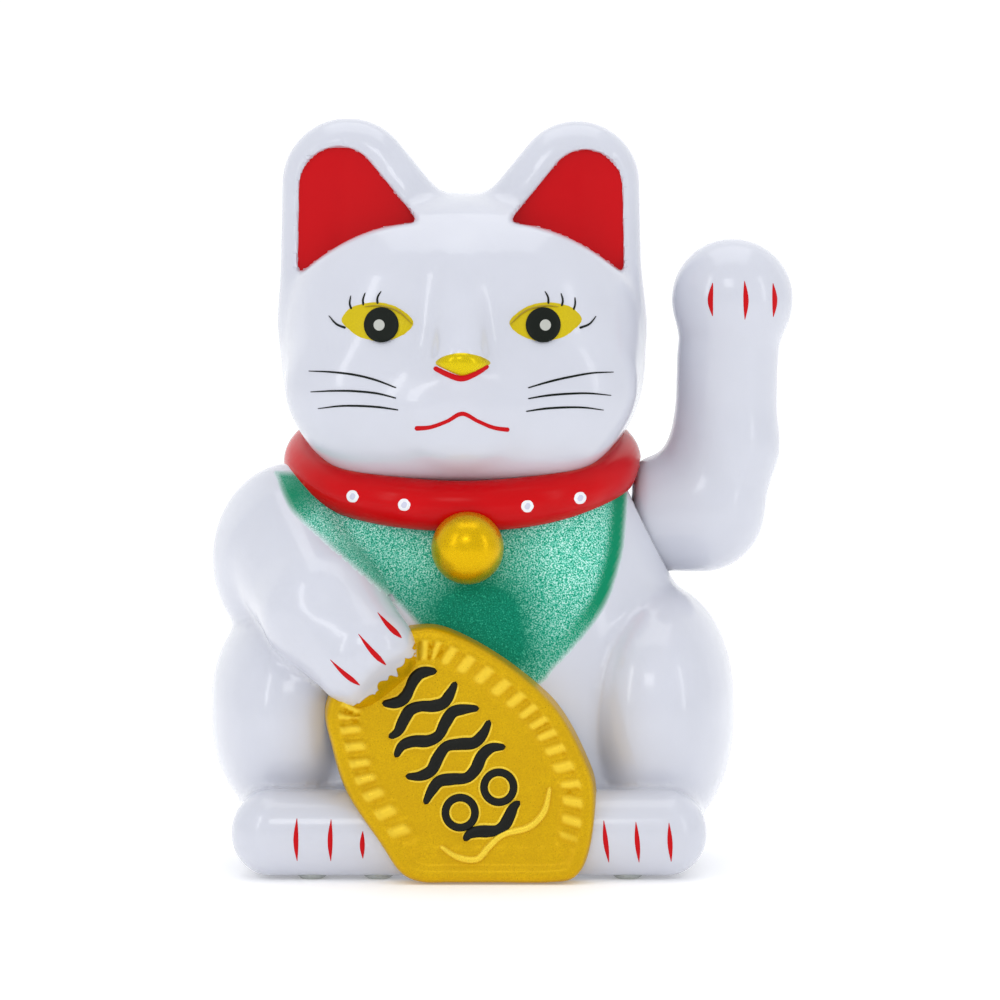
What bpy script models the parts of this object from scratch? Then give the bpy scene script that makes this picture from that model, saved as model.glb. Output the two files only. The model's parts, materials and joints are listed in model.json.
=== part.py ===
"""Battery-powered beckoning cat: a hollow two-part figure whose raised arm swings on a steel axle.

The scene is in metres, +Z up, with the cat facing -Y. The origin is under the middle of the whole
figure, on the surface that it stands on. Shapes are written in millimetres in the cat's own frame,
where x = 0 is the middle of the face, and MM turns them into metres.
"""

import math

import bmesh
import bpy
import numpy as np
from mathutils import Matrix, Vector

MM = 0.001

# ---------------------------------------------------------------- driving dimensions, in millimetres
CAT_OFFSET = (-8.07, 3.93, 0.0)  # the face's middle line, seen from the origin of the whole figure
WALL = 2.0  # shell wall
ARM_WALL = 1.4
GAP = 0.3  # between pieces that touch
SEAM_Y = 3.0  # the front and back mouldings meet here
BOTTOM_Z = 0.8  # lower rim of the shells
FORM_BOTTOM = -3.0  # the form that the shells are cut from ends here
FLOOR_TOP = 2.6  # inside face of the shells' own floor, round the opening
SHELL_GRID = 4.4  # facet size of the outer skins, before thinning
CAVITY_GRID = 5.2
ARM_GRID = 3.2
ARM_CAVITY_GRID = 4.0
SKIN_KEEP = 0.45  # share of an outer skin's triangles left by thinning
CAVITY_KEEP = 0.35
FACET_PUSH = 1.5  # the guide is pushed out by this many gaps, since its facets cut corners

WRIST = (-27.0, -29.0, 53.0)  # of the resting arm
PAW_END = (-19.0, -37.0, 44.5)
PAW_REACH = 22.3  # the resting paw is cut off square here, this far from its wrist
PIVOT = (SEAM_Y, 69.3)  # y and z of the arm's axle, which runs along x
AXLE_RADIUS = 1.5
BORE_RADIUS = 1.6  # running bore round the axle
AXLE_SPAN = (11.0, 43.0)
ARM_ROOT_X = 34.6  # closed inner end of the arm
ARM_OPENING_RADIUS = 11.9  # round hole in the body's side
ARM_ROOM_LENGTH = 20.0  # the collar is cut back over this length of the arm

COLLAR_CENTRE = (0.2, 1.5, 81.1)
COLLAR_RADIUS = 31.1
COLLAR_SECTION = 5.05
COLLAR_TILT = math.radians(14.5)
BELL_CENTRE = (1.4, -33.8, 65.3)
BELL_RADIUS = 7.25

COIN_CENTRE = (2.4, -42.5, 19.6)  # on the front face
COIN_HALF_WIDTH = 21.3
COIN_HALF_TOP = 33.0
COIN_HALF_BOTTOM = 29.0
COIN_POWER = 2.2
COIN_THICKNESS = 7.0
COIN_ROLL = math.radians(33.0)  # the long axis leans this far from upright
COIN_TILT = math.radians(9.0)  # and the coin leans back this far

PLATE = (1.5, 4.0)  # lower and upper face of the base plate
OPENING = ((1.5, 3.0), (38.8, 31.8))  # centre and half sizes of the oval opening that the plate fills
OPENING_LOBE = ((-34.0, -27.5), (32.0, -3.0))  # and the corners of its rounded lobe under the battery
BAY = ((-29.0, -22.8, PLATE[0]), (27.0, -7.2, 18.5))  # inside of the battery bay
BAY_WALL = 1.5
CELL_RADIUS = 7.1
CELL_NUB_RADIUS = 2.7
CELL_AXIS = (-15.0, 10.95)  # y and z
CELL_SPAN = (-27.0, 22.5)
DOOR_HINGE = (24.4, 2.75)  # x and z of the door's hinge axis, which runs along y
SCREW_SPOTS = ((-33.0, -1.0), (36.0, -1.0), (-20.0, 24.0), (23.0, 24.0))
RIB_ENDS = ((-50.0, -1.0), (52.0, -1.0), (-20.0, 45.0), (23.0, 45.0))  # a rib ties each boss to the wall
BOSS_RADIUS = 3.3
BOSS_TOP = 14.0
PAD_SPOTS = ((-29.3, -33.2), (-16.2, -33.2), (20.0, -33.2), (33.0, -33.2), (-29.0, 22.5), (32.0, 22.5))
PAD_RADIUS = 2.95
DRIVE_X = 22.0  # the pendulum hangs here, over the coil
BAR_HALF = (1.2, 3.0)  # half the pendulum bar's thickness and width
POST_SPANS = ((12.0, 14.5), (29.5, 32.0))
FRAME_SCREWS = ((9.6, -2.2), (34.4, 11.6))
BOARD = ((-18.0, -5.0, 8.0), (4.0, 12.0, 9.2))
BOARD_POSTS = ((-15.0, 3.5), (1.0, 3.5))
COUNTERWEIGHT_Y = SEAM_Y + 1.1  # off the bar's middle, so that the arm hangs level
WIRE_RADIUS = 0.5
SWITCH = ((-5.5, 21.5, 4.3), (5.5, 28.5, 9.5))
SLIDER = ((-3.0, 23.6, 1.6), (0.0, 26.4, 5.6))


# ---------------------------------------------------------------- scene and materials
for old in list(bpy.data.objects):
    bpy.data.objects.remove(old)

scene = bpy.context.scene


def material(name, colour, roughness, metallic=0.0):
    made = bpy.data.materials.new(name)
    made.use_nodes = True
    shader = made.node_tree.nodes["Principled BSDF"]
    shader.inputs["Base Color"].default_value = (*colour, 1.0)
    shader.inputs["Roughness"].default_value = roughness
    shader.inputs["Metallic"].default_value = metallic
    return made


WHITE = material("shell_white", (0.78, 0.79, 0.81), 0.15)
RED = material("collar_red", (0.60, 0.01, 0.02), 0.25)
BELL_GOLD = material("bell_gold", (0.62, 0.40, 0.05), 0.35, 0.6)
COIN_GOLD = material("coin_gold", (0.60, 0.37, 0.03), 0.35, 0.5)
PAD_RUBBER = material("pad_rubber", (0.55, 0.57, 0.54), 0.6)
BASE_WHITE = material("base_white", (0.70, 0.70, 0.69), 0.45)
FRAME_NYLON = material("frame_nylon", (0.72, 0.71, 0.66), 0.5)
STEEL = material("steel", (0.55, 0.55, 0.56), 0.3, 1.0)
MAGNET = material("magnet_nickel", (0.60, 0.59, 0.56), 0.2, 1.0)
COPPER = material("coil_copper", (0.55, 0.22, 0.10), 0.35, 0.9)
BOARD_GREEN = material("board_green", (0.03, 0.16, 0.06), 0.4)
BLACK = material("component_black", (0.02, 0.02, 0.02), 0.4)
CELL_SLEEVE = material("cell_sleeve", (0.05, 0.10, 0.25), 0.3)
NICKEL = material("contact_nickel", (0.60, 0.60, 0.58), 0.25, 1.0)
WIRE_RED = material("wire_red", (0.50, 0.02, 0.02), 0.4)


def empty(name, location, parent=None):
    made = bpy.data.objects.new(name, None)
    scene.collection.objects.link(made)
    made.location = Vector(location) * MM
    made.parent = parent
    return made


CAT = empty("cat", CAT_OFFSET)
ARM_PIVOT = empty("arm_pivot", (0.0, *PIVOT), CAT)


def add_object(name, mesh, look, parent=CAT, origin=(0.0, 0.0, 0.0)):
    """Links a mesh made in the cat's frame, in metres. origin is where its own origin goes there."""
    mesh.transform(Matrix.Translation(-Vector(origin) * MM))
    made = bpy.data.objects.new(name, mesh)
    scene.collection.objects.link(made)
    made.parent = parent
    base = Vector(origin) * MM
    if parent is ARM_PIVOT:
        base -= Vector((0.0, *PIVOT)) * MM
    made.location = base
    if look:
        mesh.materials.append(look)
    else:
        made.hide_render = True
        made.display_type = "WIRE"
    return made


def combine(target, tool, operation):
    """Adds an exact Boolean to target. tool is a cutter or a piece that target has to clear or take in."""
    step = target.modifiers.new(f"{operation.lower()}_{tool.name}", "BOOLEAN")
    step.operation = operation
    step.solver = "EXACT"
    step.object = tool
    return step


# ---------------------------------------------------------------- signed-distance forms, in millimetres
def superellipsoid(x, y, z, centre, radii, power=2.0):
    u = np.abs(x - centre[0]) / radii[0]
    v = np.abs(y - centre[1]) / radii[1]
    w = np.abs(z - centre[2]) / radii[2]
    size = np.maximum((u**power + v**power + w**power) ** (1 / power), 1e-4)
    parts = [(a ** (power - 1) / r) ** 2 for a, r in zip((u, v, w), radii)]
    slope = np.sqrt(parts[0] + parts[1] + parts[2]) * size ** (1 - power)
    return (size - 1) / np.maximum(slope, 1e-3)


def limb(x, y, z, start, end, radius_start, radius_end):
    """A tapered round bar with ball ends."""
    along = np.subtract(end, start).astype(float)
    reach = (x - start[0]) * along[0] + (y - start[1]) * along[1] + (z - start[2]) * along[2]
    t = np.clip(reach / (along @ along), 0, 1)
    across = [(value - a - t * d) ** 2 for value, a, d in zip((x, y, z), start, along)]
    return np.sqrt(across[0] + across[1] + across[2]) - radius_start - t * (radius_end - radius_start)


def rounded_box(x, y, z, centre, half, radius):
    a, b, c = (np.abs(v - m) - h + radius for v, m, h in zip((x, y, z), centre, half))
    outside = np.sqrt(np.maximum(a, 0) ** 2 + np.maximum(b, 0) ** 2 + np.maximum(c, 0) ** 2)
    return outside + np.minimum(np.maximum(a, np.maximum(b, c)), 0) - radius


def join(a, b, blend):
    """Union of two forms with a fillet about as wide as blend."""
    near = np.maximum(blend - np.abs(a - b), 0) / blend
    return np.minimum(a, b) - near**3 * blend / 6


def meet(a, b, blend):
    return -join(-a, -b, blend)


def triangle(x, z, corners):
    """Signed distance to a triangle in the x, z plane."""
    nearest = np.inf
    turns = []
    for (ax, az), (bx, bz) in zip(corners, corners[1:] + corners[:1]):
        ex, ez = bx - ax, bz - az
        t = np.clip(((x - ax) * ex + (z - az) * ez) / (ex * ex + ez * ez), 0, 1)
        nearest = np.minimum(nearest, (x - ax - t * ex) ** 2 + (z - az - t * ez) ** 2)
        turns.append(np.sign(ex * (z - az) - ez * (x - ax)))
    inside = np.abs(turns[0] + turns[1] + turns[2]) == 3
    return np.sqrt(nearest) * np.where(inside, -1, 1)


def ears(x, y, z):
    """Both ears: a triangle grown by a corner radius, with a round rim, that leans forward lower down."""
    right = x > 0
    corner_radius = np.where(right, 12.6, 13.2)
    shift = np.where(right, 0.4, 0.0)
    outline = triangle(np.abs(x) - shift, z, [(22.9, 136.9), (7.0, 117.5), (23.4, 110.0)]) - corner_radius
    rim = 6.5
    front = -6.5 - 0.25 * np.clip(24 - np.abs(x), 0, 14) - 0.1 * np.clip(140 - z, 0, 20)
    a = outline + rim
    b = np.maximum(front - y, y - 10.5) + rim
    return np.sqrt(np.maximum(a, 0) ** 2 + np.maximum(b, 0) ** 2) + np.minimum(np.maximum(a, b), 0) - rim


def head(x, y, z, soft=0.0):
    """soft widens every fillet, for the plainer hollow inside."""
    d = superellipsoid(x, y, z, (0.4, 3, 104.5), (36.9, 33, 30.6), 2.45)
    cheeks = superellipsoid(np.abs(x), y, z, (14, -18, 96), (20, 13.5, 14))
    muzzle = superellipsoid(x, y, z, (0, -26, 93.5), (15, 12, 10.5))
    chin = superellipsoid(x, y, z, (0, -30.2, 87), (9.5, 7, 5.8))
    bridge = limb(x, y, z, (0, -24, 120), (0, -35, 103), 3.5, 4.0)
    jaw = superellipsoid(x, y, z, (0, -17.5, 87.5), (28, 15.5, 11.5))
    for part, blend in ((jaw, 8), (cheeks, 12), (muzzle, 9), (chin, 4), (bridge, 9), (ears(x, y, z), 4)):
        d = join(d, part, blend + soft)
    return d


def torso(x, y, z, soft=0.0):
    d = superellipsoid(x, y, z, (1.5, 3, 30), (44, 36.5, 64), 2.3)
    shoulder = superellipsoid(x, y, z, (-33.6, -3, 61.3), (16.6, 18, 19.4))
    right_haunch = superellipsoid(x, y, z, (38.2, -3, 31), (17, 32, 25.5), 2.2)
    left_haunch = superellipsoid(x, y, z, (-33.7, -3, 31), (16.9, 31, 22.5), 2.2)
    left_foot = rounded_box(x, y, z, (-24.7, -24, 9.0), (20.5, 17.5, 8.6), 8.5)
    right_foot = rounded_box(x, y, z, (28.6, -24, 9.0), (20.0, 17.5, 8.6), 8.5)
    d = join(d, shoulder, 7 + soft)
    for part in (right_haunch, left_haunch, left_foot, right_foot):
        d = join(d, part, 3 + soft)
    upper = limb(x, y, z, (-33, -10, 63), WRIST, 14.5, 12)
    paw = limb(x, y, z, WRIST, PAW_END, 12, 10.5)
    way = np.subtract(PAW_END, WRIST) / math.dist(PAW_END, WRIST)
    along = (x - WRIST[0]) * way[0] + (y - WRIST[1]) * way[1] + (z - WRIST[2]) * way[2]
    return join(d, meet(join(upper, paw, 4), along - PAW_REACH, 2.5), 3 + soft)


def cat_form(x, y, z):
    """Head and body, closed by a flat face a little below the rim."""
    return np.maximum(join(head(x, y, z), torso(x, y, z), 4), FORM_BOTTOM - z)


def cavity_form(x, y, z):
    """The hollow inside the shells, down to their floor."""
    soft = 5.0
    hollow = join(head(x, y, z, soft), torso(x, y, z, soft), 4 + soft) + WALL
    return np.maximum(hollow, FLOOR_TOP - z)


def arm_form(x, y, z):
    elbow = (48.6, SEAM_Y, 71.3)
    d = limb(x, y, z, (34, *PIVOT), elbow, 11.3, 12.3)
    d = join(d, limb(x, y, z, elbow, (53.4, 2.5, 84), 12.3, 10.3), 4)
    d = join(d, limb(x, y, z, (53.4, 2.5, 84), (53.8, 1, 101), 10.2, 10.2), 5)
    d = join(d, superellipsoid(x, y, z, (54.7, -0.5, 113.6), (12.2, 11.2, 12.2)), 6)
    return meet(d, ARM_ROOT_X - x, 6)


def arm_cavity_form(x, y, z):
    return arm_form(x, y, z) + ARM_WALL


# ---------------------------------------------------------------- meshing the forms
def net(form, low, high, step):
    """A closed quad mesh of form: one point in each grid cell that the surface crosses, moved onto it."""
    axes = [np.arange(a, b + step, step) for a, b in zip(low, high)]
    value = form(*np.meshgrid(*axes, indexing="ij", sparse=True))
    solid = value < 0
    cells = [len(a) - 1 for a in axes]
    corners = [(i, j, k) for i in (0, 1) for j in (0, 1) for k in (0, 1)]
    filled = sum(solid[i:i + cells[0], j:j + cells[1], k:k + cells[2]].astype(int) for i, j, k in corners)
    mixed = (filled > 0) & (filled < 8)
    where = np.argwhere(mixed)
    number = np.full(cells, -1)
    number[mixed] = np.arange(len(where))
    points = np.array(low) + (where + 0.5) * step
    quads = []
    for axis in range(3):
        one, two = (axis + 1) % 3, (axis + 2) % 3
        near = [slice(1, -1)] * 3
        near[axis] = slice(0, -1)
        far = list(near)
        far[axis] = slice(1, None)
        starts, ends = solid[tuple(near)], solid[tuple(far)]
        edges = np.argwhere(starts != ends)
        inward = ends[tuple(edges.T)]
        edges[:, one] += 1
        edges[:, two] += 1
        ring = []
        for back_one, back_two in ((0, 0), (1, 0), (1, 1), (0, 1)):
            cell = edges.copy()
            cell[:, one] -= back_one
            cell[:, two] -= back_two
            ring.append(number[tuple(cell.T)])
        ring = np.stack(ring, 1)
        ring[inward] = ring[inward][:, ::-1]
        quads.append(ring)
    return settle(points, form, step), np.concatenate(quads)


def settle(points, form, step, rounds=8, nudge=0.01):
    """Moves points along the form's gradient until they lie on its surface."""
    start = points.copy()
    for _ in range(rounds):
        x, y, z = points.T
        value = form(x, y, z)
        slope = np.stack(
            [
                form(x + nudge, y, z) - form(x - nudge, y, z),
                form(x, y + nudge, z) - form(x, y - nudge, z),
                form(x, y, z + nudge) - form(x, y, z - nudge),
            ],
            axis=1,
        ) / (2 * nudge)
        move = slope * (value / np.maximum((slope**2).sum(1), 0.05))[:, None]
        points = start + np.clip(points - move - start, -0.8 * step, 0.8 * step)
    return points


def form_mesh(name, form, low, high, step):
    points, quads = net(form, low, high, step)
    mesh = bpy.data.meshes.new(name)
    mesh.from_pydata((points * MM).tolist(), [], quads.tolist())
    mesh.shade_smooth()
    return mesh


def thin_out(skin, keep=SKIN_KEEP):
    """Takes away the triangles that a gently curved skin can spare."""
    step = skin.modifiers.new("thin_out", "DECIMATE")
    step.ratio = keep
    return skin


# ---------------------------------------------------------------- plain solids
def bm_object(name, bm, look, parent=CAT, origin=(0.0, 0.0, 0.0), smooth_angle=35):
    """Turns a bmesh in millimetres into an object in metres."""
    bmesh.ops.recalc_face_normals(bm, faces=bm.faces)
    bmesh.ops.scale(bm, vec=(MM, MM, MM), verts=bm.verts)
    mesh = bpy.data.meshes.new(name)
    bm.to_mesh(mesh)
    bm.free()
    mesh.shade_smooth()
    mesh.set_sharp_from_angle(angle=math.radians(smooth_angle))
    return add_object(name, mesh, look, parent, origin)


def prism(name, points, low, high, look):
    """A flat-sided solid: the outline raised from low to high."""
    bm = bmesh.new()
    floor = [bm.verts.new((x, y, low)) for x, y in points]
    face = bm.faces.new(floor)
    raised = bmesh.ops.extrude_face_region(bm, geom=[face])["geom"]
    corners = [item for item in raised if isinstance(item, bmesh.types.BMVert)]
    bmesh.ops.translate(bm, vec=(0, 0, high - low), verts=corners)
    return bm_object(name, bm, look)


def put_box(bm, low, high):
    size = [b - a for a, b in zip(low, high)]
    centre = [(a + b) / 2 for a, b in zip(low, high)]
    place = Matrix.Translation(centre) @ Matrix.Diagonal((*size, 1.0))
    bmesh.ops.create_cube(bm, size=1.0, matrix=place)


def box(name, low, high, look, parent=CAT, origin=(0.0, 0.0, 0.0)):
    bm = bmesh.new()
    put_box(bm, low, high)
    return bm_object(name, bm, look, parent, origin)


def turned_to(axis):
    """The turn that lays the z axis along x, y or z."""
    if axis == "x":
        return Matrix.Rotation(math.pi / 2, 4, "Y")
    if axis == "y":
        return Matrix.Rotation(-math.pi / 2, 4, "X")
    return Matrix()


def put_cylinder(bm, centre, radius, length, axis="z", sides=20):
    """A cylinder about centre, with its axis along x, y or z."""
    bmesh.ops.create_cone(
        bm, cap_ends=True, segments=sides, radius1=radius, radius2=radius, depth=length,
        matrix=Matrix.Translation(centre) @ turned_to(axis),
    )


def cylinder(name, centre, radius, length, look, axis="z", sides=20, parent=CAT, origin=(0.0, 0.0, 0.0)):
    bm = bmesh.new()
    put_cylinder(bm, centre, radius, length, axis, sides)
    return bm_object(name, bm, look, parent, origin)


def turned(name, profile, centre, look, axis="z", sides=20, parent=CAT, origin=(0.0, 0.0, 0.0)):
    """A turned piece. profile is a loop of (radius, height) points; a point at radius 0 is a pole."""
    bm = bmesh.new()
    rings = []
    for radius, height in profile:
        count = 1 if radius == 0 else sides
        angles = [2 * math.pi * i / sides for i in range(count)]
        rings.append([bm.verts.new((radius * math.cos(t), radius * math.sin(t), height)) for t in angles])
    closed = all(radius > 0 for radius, _ in profile)
    pairs = list(zip(rings, rings[1:]))
    if closed:
        pairs.append((rings[-1], rings[0]))
    for a, b in pairs:
        for i in range(sides):
            j = (i + 1) % sides
            corners = [a[i % len(a)], a[j % len(a)], b[j % len(b)], b[i % len(b)]]
            face = list(dict.fromkeys(corners))
            if len(face) > 2:
                bm.faces.new(face)
    bmesh.ops.transform(bm, matrix=Matrix.Translation(centre) @ turned_to(axis), verts=bm.verts)
    return bm_object(name, bm, look, parent, origin)


def tube(name, points, radius, look, resolution=1):
    """A wire: a curve object with a round bevel and filled ends, along points in the cat's frame."""
    data = bpy.data.curves.new(name, "CURVE")
    data.dimensions = "3D"
    data.bevel_depth = radius * MM
    data.bevel_resolution = resolution
    data.use_fill_caps = True
    spline = data.splines.new("POLY")
    spline.points.add(len(points) - 1)
    for point, place in zip(spline.points, points):
        point.co = (*(Vector(place) * MM), 1.0)
    made = bpy.data.objects.new(name, data)
    scene.collection.objects.link(made)
    made.parent = CAT
    data.materials.append(look)
    return made


def smooth_route(points, steps):
    """Points on a Catmull-Rom curve through the given ones."""
    ends = [2 * Vector(points[0]) - Vector(points[1]), 2 * Vector(points[-1]) - Vector(points[-2])]
    p = [ends[0], *map(Vector, points), ends[1]]
    route = []
    for a, b, c, d in zip(p, p[1:], p[2:], p[3:]):
        for k in range(steps):
            t = k / steps
            route.append(0.5 * (2 * b + (c - a) * t + (2 * a - 5 * b + 4 * c - d) * t**2
                                + (3 * b - a - 3 * c + d) * t**3))
    return [*route, Vector(points[-1])]


# ---------------------------------------------------------------- shells of the head and body
FIGURE_LOW, FIGURE_HIGH = (-58.0, -54.0, -6.0), (62.0, 48.0, 156.0)


def build_shells():
    """The front and back mouldings: one hollow figure, parted at the seam and open at the bottom."""
    hollow = form_mesh("cavity", cavity_form, FIGURE_LOW, FIGURE_HIGH, CAVITY_GRID)
    cavity = thin_out(add_object("cavity_cutter", hollow, None), CAVITY_KEEP)
    low, high = PLATE[1] + GAP, BOSS_TOP
    bosses, ribs, pilots = bmesh.new(), bmesh.new(), bmesh.new()
    for (x, y), (end_x, end_y) in zip(SCREW_SPOTS, RIB_ENDS):
        put_cylinder(bosses, (x, y, (low + high) / 2), BOSS_RADIUS, high - low, sides=14)
        put_cylinder(pilots, (x, y, (high - 1) / 2), 1.5, high - 1, sides=12)
        put_box(ribs, (min(x, end_x) - 0.8, min(y, end_y) - 0.8, low + 0.5),
                (max(x, end_x) + 0.8, max(y, end_y) + 0.8, high - 1.0))
    for name, tool in (("boss_cutter", bosses), ("rib_cutter", ribs)):
        combine(cavity, bm_object(name, tool, None), "DIFFERENCE")
    cuts = [
        cavity,
        base_blank("opening_cutter", 0.0, FORM_BOTTOM - 2, PLATE[1] + 0.15, None),
        cylinder("arm_hole_cutter", (48, *PIVOT), ARM_OPENING_RADIUS, 36, None, "x", sides=32),
        bm_object("pilot_cutter", pilots, None),
        pad_sockets(),
    ]
    low, high = FIGURE_LOW, FIGURE_HIGH
    halves = {
        "front_shell": ((low[0], low[1], BOTTOM_Z), (high[0], SEAM_Y - GAP / 2, high[2])),
        "back_shell": ((low[0], SEAM_Y + GAP / 2, BOTTOM_Z), high),
    }
    for name, corners in halves.items():
        shell = outer_skin(name, WHITE)
        combine(shell, box(f"{name}_half_cutter", *corners, None), "INTERSECT")
        for tool in cuts:
            combine(shell, tool, "DIFFERENCE")


def base_blank(name, inset, low, high, look):
    """A flat blank with the outline of the bottom opening, drawn in by inset."""
    (cx, cy), (half_x, half_y) = OPENING
    points = []
    for i in range(48):
        c, s = math.cos(2 * math.pi * i / 48), math.sin(2 * math.pi * i / 48)
        u = math.copysign(abs(c) ** (2 / 2.3), c)
        v = math.copysign(abs(s) ** (2 / 2.3), s)
        points.append((cx + (half_x - inset) * u, cy + (half_y - inset) * v))
    blank = prism(name, points, low, high, look)
    (x0, y0), (x1, y1) = OPENING_LOBE
    corner = 4.0
    lobe = []
    for cx, cy, start in ((x1 - corner, y1 - corner, 0), (x0 + corner, y1 - corner, 90),
                          (x0 + corner, y0 + corner, 180), (x1 - corner, y0 + corner, 270)):
        for step in range(5):
            angle = math.radians(start + 22.5 * step)
            lobe.append((cx + (corner - inset) * math.cos(angle), cy + (corner - inset) * math.sin(angle)))
    combine(blank, prism(f"{name}_lobe_cutter", lobe, low - 0.01, high + 0.01, None), "UNION")
    level = box(f"{name}_level_cutter", (-60, -60, low), (60, 60, high), None)
    combine(blank, level, "INTERSECT")
    return blank


def pad_sockets():
    sockets = bmesh.new()
    for x, y in PAD_SPOTS:
        put_cylinder(sockets, (x, y, 0.4), PAD_RADIUS + GAP, 2.4, sides=16)
    return bm_object("pad_socket_cutter", sockets, None)


def outer_skin(name, look):
    """The whole figure's outer surface, which is the same each time that it's made."""
    return thin_out(add_object(name, form_mesh(name, cat_form, FIGURE_LOW, FIGURE_HIGH, SHELL_GRID), look))


def build_guide():
    """The figure pushed outward, for cutting back the pieces that lie against the outside of the shells."""
    guide = outer_skin("grown_figure_guide", None)
    push = guide.modifiers.new("push_out", "DISPLACE")
    push.mid_level = 0.0
    push.strength = FACET_PUSH * GAP * MM
    return guide


# ---------------------------------------------------------------- collar, bell and coin
def torus(name, major, minor, look, rings=36, sides=10):
    bm = bmesh.new()
    loops = []
    for i in range(rings):
        a = 2 * math.pi * i / rings
        loop = []
        for j in range(sides):
            b = 2 * math.pi * j / sides
            r = major + minor * math.cos(b)
            loop.append(bm.verts.new((r * math.cos(a), r * math.sin(a), minor * math.sin(b))))
        loops.append(loop)
    for i in range(rings):
        a, b = loops[i], loops[(i + 1) % rings]
        for j in range(sides):
            k = (j + 1) % sides
            bm.faces.new((a[j], b[j], b[k], a[k]))
    place = Matrix.Translation(COLLAR_CENTRE) @ Matrix.Rotation(COLLAR_TILT, 4, "X")
    bmesh.ops.transform(bm, matrix=place, verts=bm.verts)
    return bm_object(name, bm, look)


def build_collar_and_bell(grown_figure):
    """The collar is a ring split behind the neck, so that it snaps on; the bell hangs in front of it."""
    collar = torus("collar", COLLAR_RADIUS, COLLAR_SECTION, RED)
    combine(collar, grown_figure, "DIFFERENCE")
    for shell in ("front_shell", "back_shell"):
        combine(collar, bpy.data.objects[shell], "DIFFERENCE")
    split_low = (COLLAR_CENTRE[0] - 0.8, COLLAR_CENTRE[1] + 20, COLLAR_CENTRE[2] - 4)
    split_high = (COLLAR_CENTRE[0] + 0.8, COLLAR_CENTRE[1] + 45, COLLAR_CENTRE[2] + 20)
    combine(collar, box("collar_split_cutter", split_low, split_high, None), "DIFFERENCE")
    middle = (ARM_ROOT_X + ARM_ROOM_LENGTH / 2 - 0.4, *PIVOT)
    arm_room = cylinder("arm_room_cutter", middle, ARM_OPENING_RADIUS, ARM_ROOM_LENGTH, None, "x", 32)
    combine(collar, arm_room, "DIFFERENCE")
    bell_room = torus("collar_grown_cutter", COLLAR_RADIUS, COLLAR_SECTION + GAP, None)
    bm = bmesh.new()
    bmesh.ops.create_uvsphere(bm, u_segments=24, v_segments=14, radius=BELL_RADIUS)
    bmesh.ops.transform(bm, matrix=Matrix.Translation(BELL_CENTRE), verts=bm.verts)
    bell = bm_object("bell", bm, BELL_GOLD, smooth_angle=60)
    combine(bell, grown_figure, "DIFFERENCE")
    combine(bell, bell_room, "DIFFERENCE")


def coin_outline(inset, count=44):
    """The oval, longer at the top than at the bottom, drawn in by inset."""
    points = []
    for i in range(count):
        angle = 2 * math.pi * i / count
        c, s = math.cos(angle), math.sin(angle)
        half = (COIN_HALF_TOP if s > 0 else COIN_HALF_BOTTOM) - inset
        wide = COIN_HALF_WIDTH - inset
        u = wide * math.copysign(abs(c) ** (2 / COIN_POWER), c)
        v = half * math.copysign(abs(s) ** (2 / COIN_POWER), s)
        points.append((u, v))
    return points


def build_coin(grown_figure):
    """An oval slab with drafted sides and a sunk field, leaning back on the belly and flat on the floor."""
    levels = ((-1.2, -COIN_THICKNESS), (0.0, -2.0), (0.6, -0.6), (2.0, 0.0), (6.5, 0.0), (7.4, -0.8))
    bm = bmesh.new()
    loops = [[bm.verts.new((u, v, depth)) for u, v in coin_outline(inset)] for inset, depth in levels]
    for a, b in zip(loops, loops[1:]):
        for i in range(len(a)):
            j = (i + 1) % len(a)
            bm.faces.new((a[i], a[j], b[j], b[i]))
    bm.faces.new(loops[0])
    bm.faces.new(loops[-1])
    stand = Matrix.Rotation(math.pi / 2 - COIN_TILT, 4, "X")
    place = Matrix.Translation(COIN_CENTRE) @ stand @ Matrix.Rotation(COIN_ROLL, 4, "Z")
    bmesh.ops.transform(bm, matrix=place, verts=bm.verts)
    coin = bm_object("koban_coin", bm, COIN_GOLD)
    combine(coin, grown_figure, "DIFFERENCE")
    combine(coin, box("coin_floor_cutter", (-60, -70, -30), (60, 0, 0.3), None), "DIFFERENCE")


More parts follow.
